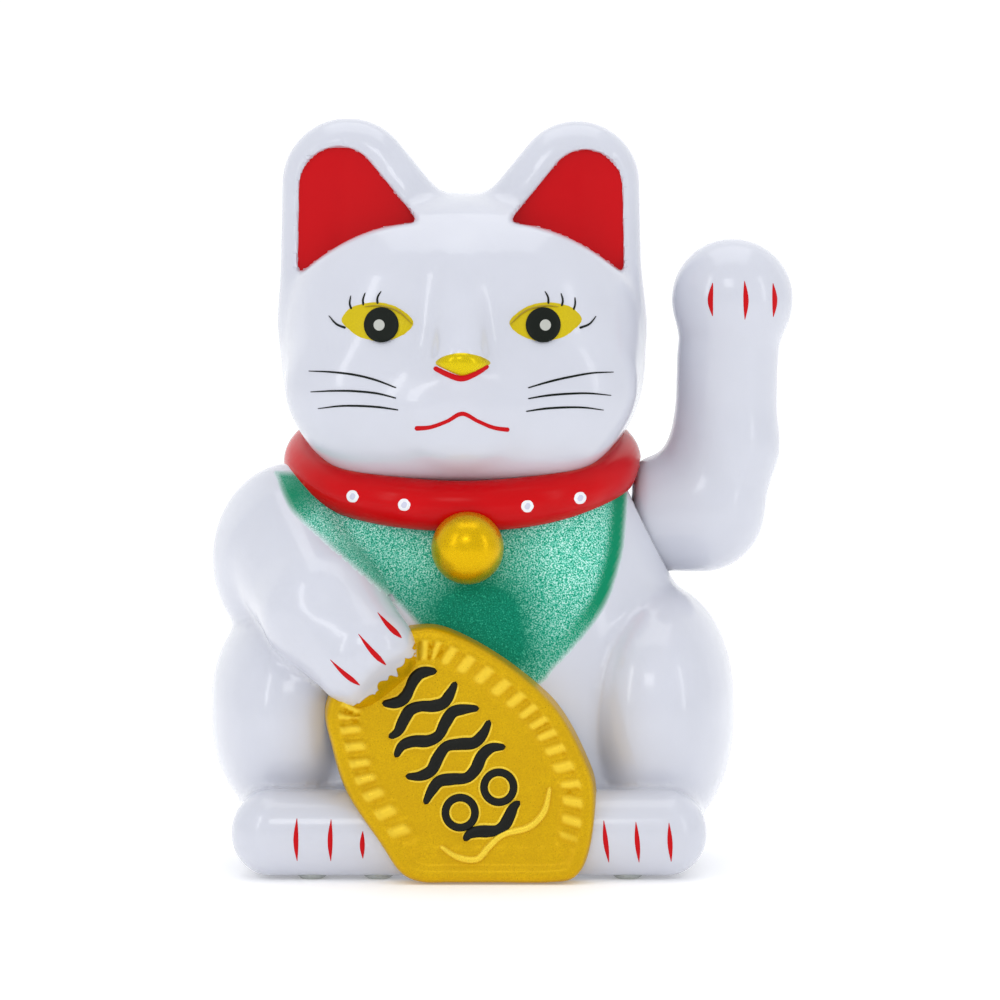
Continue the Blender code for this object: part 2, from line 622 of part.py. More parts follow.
# ---------------------------------------------------------------- base plate, battery bay, switch and feet
def build_base():
    """The plate that closes the bottom, with the walls of the battery bay standing on it."""
    plate = base_blank("base_plate", 0.4, *PLATE, BASE_WHITE)
    (x0, y0, z0), (x1, y1, z1) = BAY
    w = BAY_WALL
    bay_outer = box("bay_outer_cutter", (x0 - w, y0 - w, PLATE[0] + 0.5), (x1 + w, y1 + w, z1 + w), None)
    combine(plate, bay_outer, "UNION")
    combine(plate, box("bay_inner_cutter", (x0, y0, z0 - 3), (x1, y1, z1), None), "DIFFERENCE")
    posts = bmesh.new()
    low, high = PLATE[0] + 0.5, BOARD[0][2] - GAP
    for x, y in BOARD_POSTS:
        put_cylinder(posts, (x, y, (low + high) / 2), 2.0, high - low, sides=12)
    combine(plate, bm_object("board_post_cutter", posts, None), "UNION")
    holes = bmesh.new()
    counterbores = bmesh.new()
    for x, y in SCREW_SPOTS:
        put_cylinder(holes, (x, y, 2.0), 1.5, 8.0, sides=12)
        put_cylinder(counterbores, (x, y, 1.7), 3.0, 2.0, sides=12)
    for x, y in FRAME_SCREWS:
        put_cylinder(holes, (x, y, 2.0), 1.3, 8.0, sides=12)
    combine(plate, bm_object("plate_hole_cutter", holes, None), "DIFFERENCE")
    combine(plate, bm_object("counterbore_cutter", counterbores, None), "DIFFERENCE")
    combine(plate, bpy.data.objects["pad_socket_cutter"], "DIFFERENCE")
    slot = box("switch_slot_cutter", (SLIDER[0][0] - 0.4, SLIDER[0][1] - 0.4, 0.0),
               (SLIDER[1][0] + 3.4, SLIDER[1][1] + 0.4, 6.0), None)
    combine(plate, slot, "DIFFERENCE")
    hinge = (DOOR_HINGE[0], (y0 + y1) / 2, DOOR_HINGE[1])
    sockets = cylinder("hinge_socket_cutter", hinge, 1.0, y1 - y0 + 2.4, None, "y", sides=12)
    combine(plate, sockets, "DIFFERENCE")
    for number, (x, y) in enumerate(SCREW_SPOTS, 1):
        screw(f"base_screw_{number}", (x, y, 2.6), head=2.6, shank=1.2, length=8.5, look=STEEL, up=True)
    for number, (x, y) in enumerate(PAD_SPOTS, 1):
        profile = [(0, 0), (2.1, 0), (PAD_RADIUS - 0.1, 0.5), (PAD_RADIUS, 1.3), (0, 1.3)]
        turned(f"foot_pad_{number}", profile, (x, y, 0), PAD_RUBBER, sides=14)


def screw(name, seat, head, shank, length, look, up):
    """A pan-head screw. seat is the point under its head; up is the way that its shank runs."""
    s = 1 if up else -1
    profile = [(0, -1.1 * s), (head * 0.75, -1.1 * s), (head, -0.5 * s), (head, 0), (shank, 0),
               (shank, (length - 1) * s), (0, length * s)]
    return turned(name, profile, seat, look, sides=12)


def build_battery():
    y, z = CELL_AXIS
    x0, x1 = CELL_SPAN
    bevel = 0.5
    profile = [(0, x0 - 1.2), (CELL_NUB_RADIUS, x0 - 1.2), (CELL_NUB_RADIUS, x0), (CELL_RADIUS - bevel, x0),
               (CELL_RADIUS, x0 + bevel), (CELL_RADIUS, x1 - bevel), (CELL_RADIUS - bevel, x1), (0, x1)]
    turned("battery_cell", profile, (0, y, z), CELL_SLEEVE, "x", sides=24)
    box("battery_contact", (BAY[0][0] + GAP, y - 4, z - 5), (BAY[0][0] + GAP + 0.4, y + 4, z + 5), NICKEL)
    turns, start, end = 3.5, x1 + 0.7, BAY[1][0] - 0.7
    coil = []
    steps = int(turns * 9)
    for i in range(steps + 1):
        t = i / steps
        angle = 2 * math.pi * turns * t
        radius = 2.6 + 1.9 * t
        coil.append((start + (end - start) * t, y + radius * math.cos(angle), z + radius * math.sin(angle)))
    tube("battery_spring", coil, 0.35, NICKEL)


def build_door():
    """The bay's door, hinged at its right end and let down from below."""
    (x0, y0, _), (_, y1, _) = BAY
    middle = (DOOR_HINGE[0], (y0 + y1) / 2, DOOR_HINGE[1])
    hinge = empty("door_hinge", middle, CAT)
    bm = bmesh.new()
    put_box(bm, (x0 + 0.5, y0 + GAP, PLATE[0]), (DOOR_HINGE[0], y1 - GAP, PLATE[0] + 1.6))
    door = bm_object("battery_door", bm, BASE_WHITE)
    barrel = cylinder("door_barrel_cutter", middle, 1.2, y1 - y0 - 2 * GAP, None, "y", sides=16)
    pins = cylinder("door_pin_cutter", middle, 0.7, y1 - y0 + 1.8, None, "y", sides=12)
    combine(door, barrel, "UNION")
    combine(door, pins, "UNION")
    grips = bmesh.new()
    for k in range(3):
        put_box(grips, (x0 + 3 + 2 * k, y0 + 4, PLATE[0] - 1), (x0 + 4 + 2 * k, y1 - 4, PLATE[0] + 0.5))
    combine(door, bm_object("door_grip_cutter", grips, None), "DIFFERENCE")
    for piece in (door, barrel, pins, bpy.data.objects["door_grip_cutter"]):
        piece.data.transform(Matrix.Translation(-hinge.location))
        piece.parent = hinge


def build_switch():
    housing = box("switch_housing", *SWITCH, BLACK)
    room = box("switch_room_cutter", (SLIDER[0][0] - 0.9, SLIDER[0][1] - 0.4, 3.0),
               (SLIDER[1][0] + 3.9, SLIDER[1][1] + 0.4, SLIDER[1][2] + 1.2), None)
    combine(housing, room, "DIFFERENCE")
    centre = tuple((a + b) / 2 for a, b in zip(*SLIDER))
    box("switch_slider", *SLIDER, BLACK, origin=centre)


# ---------------------------------------------------------------- drive: frame, coil and circuit
def build_drive():
    frame = box("mechanism_frame", (7.0, -5.2, PLATE[1] + GAP), (37.0, 14.6, 6.3), FRAME_NYLON)
    y, z = PIVOT
    for number, (x0, x1) in enumerate(POST_SPANS, 1):
        post = box(f"post_{number}_cutter", (x0, y - 5, 5.0), (x1, y + 5, z), None)
        crown = cylinder(f"post_crown_{number}_cutter", ((x0 + x1) / 2, y, z), 5.0, x1 - x0 - 0.02, None, "x")
        combine(frame, post, "UNION")
        combine(frame, crown, "UNION")
    bearing = cylinder("bearing_cutter", (DRIVE_X, y, z), BORE_RADIUS, 40, None, "x", sides=24)
    combine(frame, bearing, "DIFFERENCE")
    holes = bmesh.new()
    for x, hole_y in FRAME_SCREWS:
        put_cylinder(holes, (x, hole_y, 5), 1.3, 8, sides=12)
    combine(frame, bm_object("frame_hole_cutter", holes, None), "DIFFERENCE")
    boss_x, boss_y = SCREW_SPOTS[1]
    room = BOSS_RADIUS + 0.5
    corner_low, corner_high = (boss_x - room, boss_y - 6, 3), (boss_x + 4, boss_y + room, 8)
    boss_room = box("frame_corner_cutter", corner_low, corner_high, None)
    combine(frame, boss_room, "DIFFERENCE")
    for number, (x, hole_y) in enumerate(FRAME_SCREWS, 1):
        seat = (x, hole_y, 6.6)
        screw(f"frame_screw_{number}", seat, head=2.2, shank=1.0, length=4.6, look=STEEL, up=False)
    low, high = 6.6, 17.4
    bobbin = [(2.0, low), (6.8, low), (6.8, low + 1), (3.2, low + 1), (3.2, high - 1), (6.8, high - 1),
              (6.8, high), (2.0, high)]
    turned("coil_bobbin", bobbin, (DRIVE_X, y, 0), FRAME_NYLON, sides=24)
    winding = [(3.5, low + 1.3), (6.3, low + 1.3), (6.3, high - 1.3), (3.5, high - 1.3)]
    turned("coil_winding", winding, (DRIVE_X, y, 0), COPPER, sides=24)
    box("circuit_board", *BOARD, BOARD_GREEN)
    top = BOARD[1][2] + GAP
    cylinder("transistor", (-9.5, 8.0, top + 2.3), 2.3, 4.6, BLACK, sides=16)
    cylinder("capacitor", (-2.5, 7.5, top + 3.5), 2.5, 7.0, CELL_SLEEVE, sides=16)
    board_x, board_y = BOARD[1][0], BOARD[0][1]
    to_coil = [(board_x - 2, 1, top + 0.6), (7.5, 0.0, 11.5), (10.8, -3.2, 12.5), (15.0, -4.4, 11.5),
               (20.0, -4.2, 9.4)]
    to_battery = [(-15, board_y + 3, top + 0.6), (-20, -3.0, 12.5), (-27, -2.6, 15.5), (-32.6, -5.0, 15.0),
                  (-32.4, -14.0, 12.0)]
    tube("wire_coil", smooth_route(to_coil, 4), WIRE_RADIUS, WIRE_RED)
    tube("wire_battery", smooth_route(to_battery, 4), WIRE_RADIUS, WIRE_RED)


# ---------------------------------------------------------------- raised arm and pendulum
def build_arm():
    """Two arm shells clamped on a flanged hub, and the axle, bar, counterweight and magnet below them."""
    y, z = PIVOT
    on_arm = {"parent": ARM_PIVOT, "origin": (0.0, *PIVOT)}
    low, high = (26.0, -16.0, 50.0), (72.0, 20.0, 132.0)
    hollow = form_mesh("arm_cavity", arm_cavity_form, low, high, ARM_CAVITY_GRID)
    cavity = add_object("arm_cavity_cutter", hollow, None, **on_arm)
    neck_hole = cylinder("arm_neck_cutter", (ARM_ROOT_X, y, z), 4.3, 8, None, "x", **on_arm)
    halves = {
        "arm_front_shell": (low, (high[0], SEAM_Y - GAP / 2, high[2])),
        "arm_back_shell": ((low[0], SEAM_Y + GAP / 2, low[2]), high),
    }
    for name, corners in halves.items():
        shell = thin_out(add_object(name, form_mesh(name, arm_form, low, high, ARM_GRID), WHITE, **on_arm))
        combine(shell, box(f"{name}_half_cutter", *corners, None, **on_arm), "INTERSECT")
        combine(shell, cavity, "DIFFERENCE")
        combine(shell, neck_hole, "DIFFERENCE")
    hub = [(BORE_RADIUS, 32.4), (4.0, 32.4), (4.0, 36.7), (6.4, 36.7), (6.4, 38.4), (4.0, 38.4), (4.0, 42.0),
           (BORE_RADIUS, 42.0)]
    turned("arm_hub", hub, (0, y, z), FRAME_NYLON, "x", 24, **on_arm)
    x0, x1 = AXLE_SPAN
    cylinder("pivot_axle", ((x0 + x1) / 2, y, z), AXLE_RADIUS, x1 - x0, STEEL, "x", 24, **on_arm)
    thick, wide = BAR_HALF
    bar = box("pendulum_bar", (DRIVE_X - thick, y - wide, 24.8), (DRIVE_X + thick, y + wide, z), FRAME_NYLON,
              **on_arm)
    crown = cylinder("bar_crown_cutter", (DRIVE_X, y, z), 4.0, 2 * thick - 0.02, None, "x", **on_arm)
    foot = cylinder("bar_foot_cutter", (DRIVE_X, y, 25.4), 5.0, 1.6, None, "z", **on_arm)
    bar_bore = cylinder("bar_bore_cutter", (DRIVE_X, y, z), BORE_RADIUS, 10, None, "x", 24, **on_arm)
    combine(bar, crown, "UNION")
    combine(bar, foot, "UNION")
    combine(bar, bar_bore, "DIFFERENCE")
    weight_low = (DRIVE_X - 5.5, COUNTERWEIGHT_Y - 5, 32)
    weight_high = (DRIVE_X + 5.5, COUNTERWEIGHT_Y + 5, 42)
    weight = box("counterweight", weight_low, weight_high, STEEL, **on_arm)
    slot = box("weight_slot_cutter", (DRIVE_X - thick - GAP, y - wide - GAP, 30),
               (DRIVE_X + thick + GAP, y + wide + GAP, 44), None, **on_arm)
    combine(weight, slot, "DIFFERENCE")
    cylinder("magnet", (DRIVE_X, y, 22.3), 5.0, 4.0, MAGNET, "z", 24, **on_arm)


build_shells()
grown_figure = build_guide()
build_collar_and_bell(grown_figure)
build_coin(grown_figure)
build_base()
build_battery()
build_door()
build_switch()
build_drive()
build_arm()
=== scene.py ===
"""Looks of the beckoning cat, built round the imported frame.

Shapes are written in millimetres in the cat's own frame, where x = 0 is the middle of the face, -y is the
front and z is up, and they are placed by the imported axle. The skins are the CAD's own forms with a finer
mesh. The coin's relief is added here, and the paint is made of thin pieces that follow the forms.
"""

import json
import math

import bmesh
import bpy
import numpy as np
from mathutils import Matrix, Vector
from mathutils.geometry import delaunay_2d_cdt


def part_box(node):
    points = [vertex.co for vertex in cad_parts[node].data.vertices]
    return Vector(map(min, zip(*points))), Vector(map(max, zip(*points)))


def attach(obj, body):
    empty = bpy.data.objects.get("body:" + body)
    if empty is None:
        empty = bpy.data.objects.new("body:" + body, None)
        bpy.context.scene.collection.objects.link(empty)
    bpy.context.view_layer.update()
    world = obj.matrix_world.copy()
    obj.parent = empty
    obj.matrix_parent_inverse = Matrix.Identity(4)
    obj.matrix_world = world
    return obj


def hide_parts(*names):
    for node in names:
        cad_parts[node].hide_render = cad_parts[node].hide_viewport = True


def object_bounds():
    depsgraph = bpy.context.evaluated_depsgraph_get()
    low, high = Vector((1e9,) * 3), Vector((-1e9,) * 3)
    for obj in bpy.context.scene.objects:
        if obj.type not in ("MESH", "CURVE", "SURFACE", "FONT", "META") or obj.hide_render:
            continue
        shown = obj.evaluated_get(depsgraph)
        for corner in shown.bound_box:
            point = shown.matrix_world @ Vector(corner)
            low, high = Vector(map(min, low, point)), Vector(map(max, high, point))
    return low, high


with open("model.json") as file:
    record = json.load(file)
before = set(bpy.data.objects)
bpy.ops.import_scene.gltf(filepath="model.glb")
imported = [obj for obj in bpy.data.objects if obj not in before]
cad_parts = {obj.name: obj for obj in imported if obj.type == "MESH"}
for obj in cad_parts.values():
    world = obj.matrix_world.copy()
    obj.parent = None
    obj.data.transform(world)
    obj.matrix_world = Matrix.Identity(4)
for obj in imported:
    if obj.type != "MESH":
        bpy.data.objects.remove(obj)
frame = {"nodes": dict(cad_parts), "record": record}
cad_low, cad_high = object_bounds()

MM = 0.001
FIGURE, ARM = "figure", "arm"
SKIN_STEP = 0.7
ARM_STEP = 0.65

axle_low, axle_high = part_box("pivot_axle")
PIVOT = (3.0, 69.3)  # y and z of the arm's axle, which lies along x
AXLE_MIDDLE = 27.0
# The cat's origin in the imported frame, in millimetres.
ORIGIN = (axle_low + axle_high) / 2 / MM - Vector((AXLE_MIDDLE, *PIVOT))

SEAM_Y = 3.0  # where the front and back mouldings meet
SEAM_GAP = 0.3
SEAM_LIP = 1.8  # how far a skin's edge turns in along the seam
BOTTOM_Z = 0.8
WELL_RADIUS = 11.9  # the round well that the raised arm turns in
WELL_FLOOR = 31.0
ARM_ROOT = 34.6  # x where the arm is cut flat, inside the well
SOFT_EDGE = 1.6  # fillet round the ears' sunk faces and the well

OPENING = ((1.5, 3.0), (38.8, 31.8))  # centre and half sizes of the oval opening underneath
OPENING_LOBE = ((-34.0, -27.5), (32.0, -3.0))  # and the corners of its rounded lobe
OPENING_WALL = 2.8  # height of the edge turned up round it
COLLAR_CENTRE = (0.2, 1.5, 81.1)
COLLAR_RADIUS = 31.1
COLLAR_SECTION = 5.05
COLLAR_TILT = math.radians(14.5)
COLLAR_SPLIT = math.radians(1.5)  # half of the gap at the back
COLLAR_FLAT = 34.1  # x that the collar keeps inside, within ARM_ROOM of the axle
ARM_ROOM = 12.1
BELL_CENTRE = (1.4, -33.8, 65.3)
BELL_RADIUS = 7.25
COIN_FACE = (-42.5, 19.6)  # y and z of a point on the coin's face, which leans back
COIN_TILT = math.radians(9.0)
COIN_LEAN = math.radians(33.0)  # how far the coin's long way is turned from upright
COIN_FOOT = 0.35  # the coin's lowest z


# ---- materials
def srgb(red, green, blue):
    """Linear colour of an everyday 0-255 one."""
    shares = [c / 255 for c in (red, green, blue)]
    return tuple(c / 12.92 if c <= 0.04 else ((c + 0.055) / 1.055) ** 2.4 for c in shares)


class Look:
    """A Principled material with room for a few nodes in front of it."""

    def __init__(self, name, colour, rough, metallic=0.0, coat=0.0, specular=0.5):
        self.made = bpy.data.materials.new(name)
        self.made.use_nodes = True
        self.tree = self.made.node_tree
        self.shader = self.tree.nodes["Principled BSDF"]
        self.set("Base Color", (*colour, 1.0))
        self.set("Roughness", rough)
        self.set("Metallic", metallic)
        self.set("Coat Weight", coat)
        self.set("Coat Roughness", 0.05)
        self.set("Specular IOR Level", specular)
        self.place = self.node("ShaderNodeTexCoord").outputs["Object"]

    def set(self, socket, value):
        self.shader.inputs[socket].default_value = value

    def node(self, kind, **settings):
        made = self.tree.nodes.new(kind)
        for key, value in settings.items():
            setattr(made, key, value)
        return made

    def link(self, output, target):
        self.tree.links.new(output, target)

    def noise(self, scale, detail=2.0, rough=0.5, stretch=None):
        made = self.node("ShaderNodeTexNoise")
        made.inputs["Scale"].default_value = scale
        made.inputs["Detail"].default_value = detail
        made.inputs["Roughness"].default_value = rough
        source = self.place
        if stretch:
            mapping = self.node("ShaderNodeMapping")
            mapping.inputs["Scale"].default_value = stretch
            self.link(source, mapping.inputs["Vector"])
            source = mapping.outputs["Vector"]
        self.link(source, made.inputs["Vector"])
        return made.outputs["Fac"]

    def ramp(self, factor, stops):
        made = self.node("ShaderNodeValToRGB")
        while len(made.color_ramp.elements) < len(stops):
            made.color_ramp.elements.new(0.5)
        for element, (where, colour) in zip(made.color_ramp.elements, stops):
            element.position = where
            element.color = (*colour, 1.0)
        self.link(factor, made.inputs["Fac"])
        return made.outputs["Color"]

    def spread(self, factor, low, high):
        """Maps 0.3 to 0.7, where most of a noise lies, to low and high."""
        made = self.node("ShaderNodeMapRange")
        for key, value in (("From Min", 0.3), ("From Max", 0.7), ("To Min", low), ("To Max", high)):
            made.inputs[key].default_value = value
        self.link(factor, made.inputs["Value"])
        return made.outputs["Result"]

    def attribute(self, name):
        return self.node("ShaderNodeAttribute", attribute_name=name)

    def mix(self, factor, a, b):
        made = self.node("ShaderNodeMix", data_type="RGBA")
        for value, socket in ((factor, made.inputs[0]), (a, made.inputs[6]), (b, made.inputs[7])):
            if isinstance(value, (int, float)):
                socket.default_value = value
            elif isinstance(value, tuple):
                socket.default_value = (*value, 1.0)
            else:
                self.link(value, socket)
        return made.outputs[2]

    def colour(self, output):
        self.link(output, self.shader.inputs["Base Color"])

    def rough(self, output):
        self.link(output, self.shader.inputs["Roughness"])

    def bump(self, height, strength, distance):
        made = self.node("ShaderNodeBump")
        made.inputs["Strength"].default_value = strength
        made.inputs["Distance"].default_value = distance
        self.link(height, made.inputs["Height"])
        self.link(made.outputs["Normal"], self.shader.inputs["Normal"])


WAVE = 0.00002  # depth of a moulding's soft waviness, in metres like every bump here


def moulded(name, colour, rough, coat=0.0, grain=None, specular=0.5):
    """Moulded plastic: faint clouding, slightly uneven gloss, and soft waviness or a fine grain."""
    look = Look(name, colour, rough, coat=coat, specular=specular)
    darker = tuple(c * 0.97 for c in colour)
    look.colour(look.mix(look.spread(look.noise(90), 0.0, 1.0), colour, darker))
    look.rough(look.spread(look.noise(240, 3.0), rough * 0.85, rough * 1.2))
    if grain:
        look.bump(look.noise(grain), 0.35, 0.00006)
    else:
        look.bump(look.noise(60, 1.0), 0.6, WAVE)
    return look


def gold_paint(name, light, dark, rough, metallic, grain, contrast, raised=False):
    """Metallic gold paint with fine flakes, deeper in broad patches, and painted highlights on ridges if
    asked.
    """
    look = Look(name, light, rough, metallic, specular=0.2)
    bright = tuple(min(1, c * 1.35) for c in light)
    flakes = look.ramp(look.noise(3400, 2.0, 0.6), [(0.35, dark), (0.52, light), (0.75, bright)])
    broad = look.spread(look.noise(130, 3.0), 0.0, 0.55)
    shade = look.mix(contrast, light, look.mix(broad, flakes, dark))
    # Painted highlight: where the raised attribute is set, the gold is lightened towards a bright gold.
    if raised:
        shade = look.mix(look.attribute("raised").outputs["Fac"], shade, srgb(246, 210, 60))
    look.colour(shade)
    look.rough(look.spread(look.noise(2600, 2.0), rough * 0.75, rough * 1.35))
    look.bump(look.noise(2600, 2.0, 0.6), 0.5, grain)
    return look


WHITE = moulded("shell_white_look", srgb(208, 210, 220), 0.22, coat=0.5)
WHITE.set("Subsurface Weight", 0.12)
WHITE.set("Subsurface Radius", (0.004, 0.004, 0.0045))
PAINT_RED = moulded("paint_red_look", srgb(198, 0, 12), 0.4, specular=0.15)
PAINT_BLACK = moulded("paint_black_look", srgb(16, 22, 16), 0.4, specular=0.15)
PAINT_GREY = moulded("paint_grey_look", srgb(186, 188, 180), 0.35)
PAINT_LILAC = moulded("paint_lilac_look", srgb(205, 206, 226), 0.3)
PAINT_WHITE = moulded("paint_white_look", srgb(240, 240, 244), 0.3)
YELLOW = gold_paint("eye_yellow_look", srgb(206, 184, 0), srgb(186, 158, 0), 0.4, 0.0, 0.00001, 0.35)
# Painted shadow: a darker yellow stroke where the upper lids shade the eyes.
EYE_LID_SHADOW = moulded("eye_lid_shadow_look", srgb(160, 134, 0), 0.45)
NOSE_GOLD = gold_paint("nose_gold_look", srgb(214, 190, 10), srgb(176, 140, 0), 0.24, 0.6, 0.000002, 0.12)
COIN_GOLD = gold_paint("coin_gold_look", srgb(212, 170, 0), srgb(184, 136, 0), 0.36, 0.4, 0.00003, 0.45,
                       raised=True)
COIN_BRIGHT = gold_paint("coin_edge_look", srgb(240, 206, 60), srgb(220, 178, 24), 0.32, 0.4, 0.00003, 0.5)
BELL_GOLD = gold_paint("bell_gold_look", srgb(222, 180, 6), srgb(196, 146, 0), 0.28, 0.75, 0.00003, 0.35)
COIN_BLACK = moulded("coin_black_look", srgb(14, 16, 10), 0.42, grain=900, specular=0.2)
BASE_WHITE = moulded("base_white_look", srgb(218, 218, 216), 0.5, grain=1500)
NYLON = moulded("frame_nylon_look", srgb(222, 220, 210), 0.5, grain=1200)
BLACK = moulded("component_black_look", srgb(28, 28, 30), 0.4, grain=1200)
PAD = moulded("pad_rubber_look", srgb(196, 200, 196), 0.35, grain=700)
PAD.set("Transmission Weight", 0.25)
SLEEVE = moulded("sleeve_look", srgb(40, 66, 112), 0.3)
BOARD = moulded("board_green_look", srgb(22, 92, 48), 0.4, grain=900)
WIRE = moulded("wire_red_look", srgb(170, 24, 24), 0.4)
COPPER = gold_paint("coil_copper_look", srgb(190, 104, 62), srgb(150, 74, 40), 0.35, 0.9, 0.00003, 0.6)


def metal(name, colour, rough):
    """Plain plated steel with faint turning marks."""
    look = Look(name, colour, rough, 1.0)
    marks = look.noise(300, 3.0, 0.6, stretch=(1.0, 1.0, 14.0))
    look.rough(look.spread(marks, rough * 0.8, rough * 1.3))
    look.bump(marks, 0.3, 0.00002)
    return look


STEEL = metal("steel_look", srgb(196, 197, 200), 0.28)
NICKEL = metal("nickel_look", srgb(206, 204, 198), 0.2)


def glitter():
    """Green metallic paint with pale flakes; three attributes of the bib fade it and paint light and shade on
    it.
    """
    deep, mid, pale, mint = srgb(0, 142, 108), srgb(36, 180, 146), srgb(130, 222, 200), srgb(214, 246, 238)
    look = Look("bib_green_look", mid, 0.4, specular=0.1)
    speck = look.noise(3600, 1.5, 0.5)
    base = look.ramp(speck, [(0.34, deep), (0.44, mid), (0.54, pale), (0.66, mint)])
    # Painted shade: a darker, plainer copy of the green, mixed in by the bright attribute.
    shaded_green = look.ramp(speck, [(0.35, srgb(0, 110, 84)), (0.58, srgb(0, 130, 100)), (0.78, srgb(60, 184, 150))])
    bright = look.attribute("bright").outputs["Fac"]
    mixed = look.mix(bright, shaded_green, base)
    # Dark edge band: partly denser paint, partly painted shade on the sloping edge and in the left corner.
    edged = look.mix(look.attribute("edge_paint_and_shade").outputs["Fac"], mixed, srgb(0, 134, 94))
    look.colour(look.mix(look.attribute("faded").outputs["Fac"], edged, srgb(222, 226, 233)))
    look.rough(look.spread(speck, 0.25, 0.5))
    look.bump(speck, 0.5, 0.00005)
    return look


GREEN = glitter()


def blushed():
    """The collar's gloss red, fading to a soft orange pink along its upper edge."""
    look = Look("collar_blush_look", srgb(202, 0, 10), 0.2, specular=0.14)
    red = look.mix(look.spread(look.noise(90), 0.0, 1.0), srgb(206, 0, 10), srgb(196, 0, 6))
    look.colour(look.mix(look.attribute("faded").outputs["Fac"], red, srgb(240, 150, 130)))
    look.rough(look.spread(look.noise(240, 3.0), 0.17, 0.26))
    look.bump(look.noise(60, 1.0), 0.6, WAVE)
    return look


COLLAR = blushed()


# ---- signed-distance forms, in millimetres
def superellipsoid(x, y, z, centre, radii, power=2.0):
    """About the distance to an ellipsoid, or to a squarer one where power is over 2."""
    u = np.abs(x - centre[0]) / radii[0]
    v = np.abs(y - centre[1]) / radii[1]
    w = np.abs(z - centre[2]) / radii[2]
    size = np.maximum((u**power + v**power + w**power) ** (1 / power), 1e-4)
    parts = [(a ** (power - 1) / r) ** 2 for a, r in zip((u, v, w), radii)]
    slope = np.sqrt(parts[0] + parts[1] + parts[2]) * size ** (1 - power)
    return (size - 1) / np.maximum(slope, 1e-3)


def limb(x, y, z, start, end, radius_start, radius_end):
    """A tapered round bar with ball ends."""
    along = np.subtract(end, start).astype(float)
    reach = (x - start[0]) * along[0] + (y - start[1]) * along[1] + (z - start[2]) * along[2]
    t = np.clip(reach / (along @ along), 0, 1)
    across = [(value - a - t * d) ** 2 for value, a, d in zip((x, y, z), start, along)]
    return np.sqrt(across[0] + across[1] + across[2]) - radius_start - t * (radius_end - radius_start)


def rounded_box(x, y, z, centre, half, radius):
    a, b, c = (np.abs(v - m) - h + radius for v, m, h in zip((x, y, z), centre, half))
    outside = np.sqrt(np.maximum(a, 0) ** 2 + np.maximum(b, 0) ** 2 + np.maximum(c, 0) ** 2)
    return outside + np.minimum(np.maximum(a, np.maximum(b, c)), 0) - radius


def join(a, b, blend):
    """Union of two forms with a fillet about as wide as blend."""
    near = np.maximum(blend - np.abs(a - b), 0) / blend
    return np.minimum(a, b) - near**3 * blend / 6


def meet(a, b, blend):
    """What two forms share, with the edge between them rounded."""
    return -join(-a, -b, blend)


def triangle(x, z, corners):
    """Signed distance to a triangle in the x, z plane."""
    nearest = np.inf
    turns = []
    for (ax, az), (bx, bz) in zip(corners, corners[1:] + corners[:1]):
        ex, ez = bx - ax, bz - az
        t = np.clip(((x - ax) * ex + (z - az) * ez) / (ex * ex + ez * ez), 0, 1)
        nearest = np.minimum(nearest, (x - ax - t * ex) ** 2 + (z - az - t * ez) ** 2)
        turns.append(np.sign(ex * (z - az) - ez * (x - ax)))
    inside = np.abs(turns[0] + turns[1] + turns[2]) == 3
    return np.sqrt(nearest) * np.where(inside, -1, 1)


EAR_CORNERS = [(22.9, 136.9), (7.0, 117.5), (23.4, 110.0)]
EAR_SINK = 1.9  # depth of the flat red face inside each ear
EAR_RIM = 6.5  # radius of the ears' round edge
EAR_BACK = 10.5


def ear_outline(x, z, shift=0.0, inset=0.0):
    """Signed distance to the outline of either ear, as seen from the front."""
    right = x > 0
    corner_radius = np.where(right, 12.6, 13.2)
    return triangle(np.abs(x) - np.where(right, 0.4, 0.0) - shift, z, EAR_CORNERS) - corner_radius + inset


def ear_front(x, z):
    """y of an ear's front. It leans forward towards the middle of the head and downwards."""
    return -6.5 - 0.25 * np.clip(24 - np.abs(x), 0, 14) - 0.1 * np.clip(140 - z, 0, 20)


def ear_pocket(x, z):
    """Signed distance to the edge of the sunk face, whose lower edge is the top of the forehead."""
    brow = 129.0 - 0.0185 * np.maximum(np.abs(x) - 9, 0) ** 2
    return meet(ear_outline(x, z + 0.6, 1.6, 5.2), brow - z, 3.0)


def ears(x, y, z):
    """Both ears: a triangle grown by a corner radius, with a round rim and a flat sunk face."""
    a = ear_outline(x, z) + EAR_RIM
    b = np.maximum(ear_front(x, z) - y, y - EAR_BACK) + EAR_RIM
    return np.sqrt(np.maximum(a, 0) ** 2 + np.maximum(b, 0) ** 2) + np.minimum(np.maximum(a, b), 0) - EAR_RIM


def head(x, y, z):
    d = superellipsoid(x, y, z, (0.4, 3, 104.5), (36.9, 33, 30.6), 2.45)
    cheeks = superellipsoid(np.abs(x), y, z, (14, -18, 96), (20, 13.5, 14))
    muzzle = superellipsoid(x, y, z, (0, -26, 93.5), (15, 12, 10.5))
    chin = superellipsoid(x, y, z, (0, -30.2, 87), (9.5, 7, 5.8))
    bridge = limb(x, y, z, (0, -24, 120), (0, -35, 103), 3.5, 4.0)
    jaw = superellipsoid(x, y, z, (0, -17.5, 87.5), (28, 15.5, 11.5))
    for part, blend in ((jaw, 8), (cheeks, 12), (muzzle, 9), (chin, 4), (bridge, 9), (ears(x, y, z), 4)):
        d = join(d, part, blend)
    return meet(d, -np.maximum(ear_pocket(x, z), y - ear_front(x, z) - EAR_SINK), SOFT_EDGE)


WRIST = np.array((-27.0, -29.0, 53.0))
PAW_END = np.array((-19.0, -37.0, 44.5))
PAW_WAY = (PAW_END - WRIST) / np.linalg.norm(PAW_END - WRIST)
PAW_REACH = 22.3  # the paw is cut off square here, where its fingers lie on the coin


def along_paw(x, y, z):
    """How far a point is past the wrist, measured along the paw."""
    return (x - WRIST[0]) * PAW_WAY[0] + (y - WRIST[1]) * PAW_WAY[1] + (z - WRIST[2]) * PAW_WAY[2]


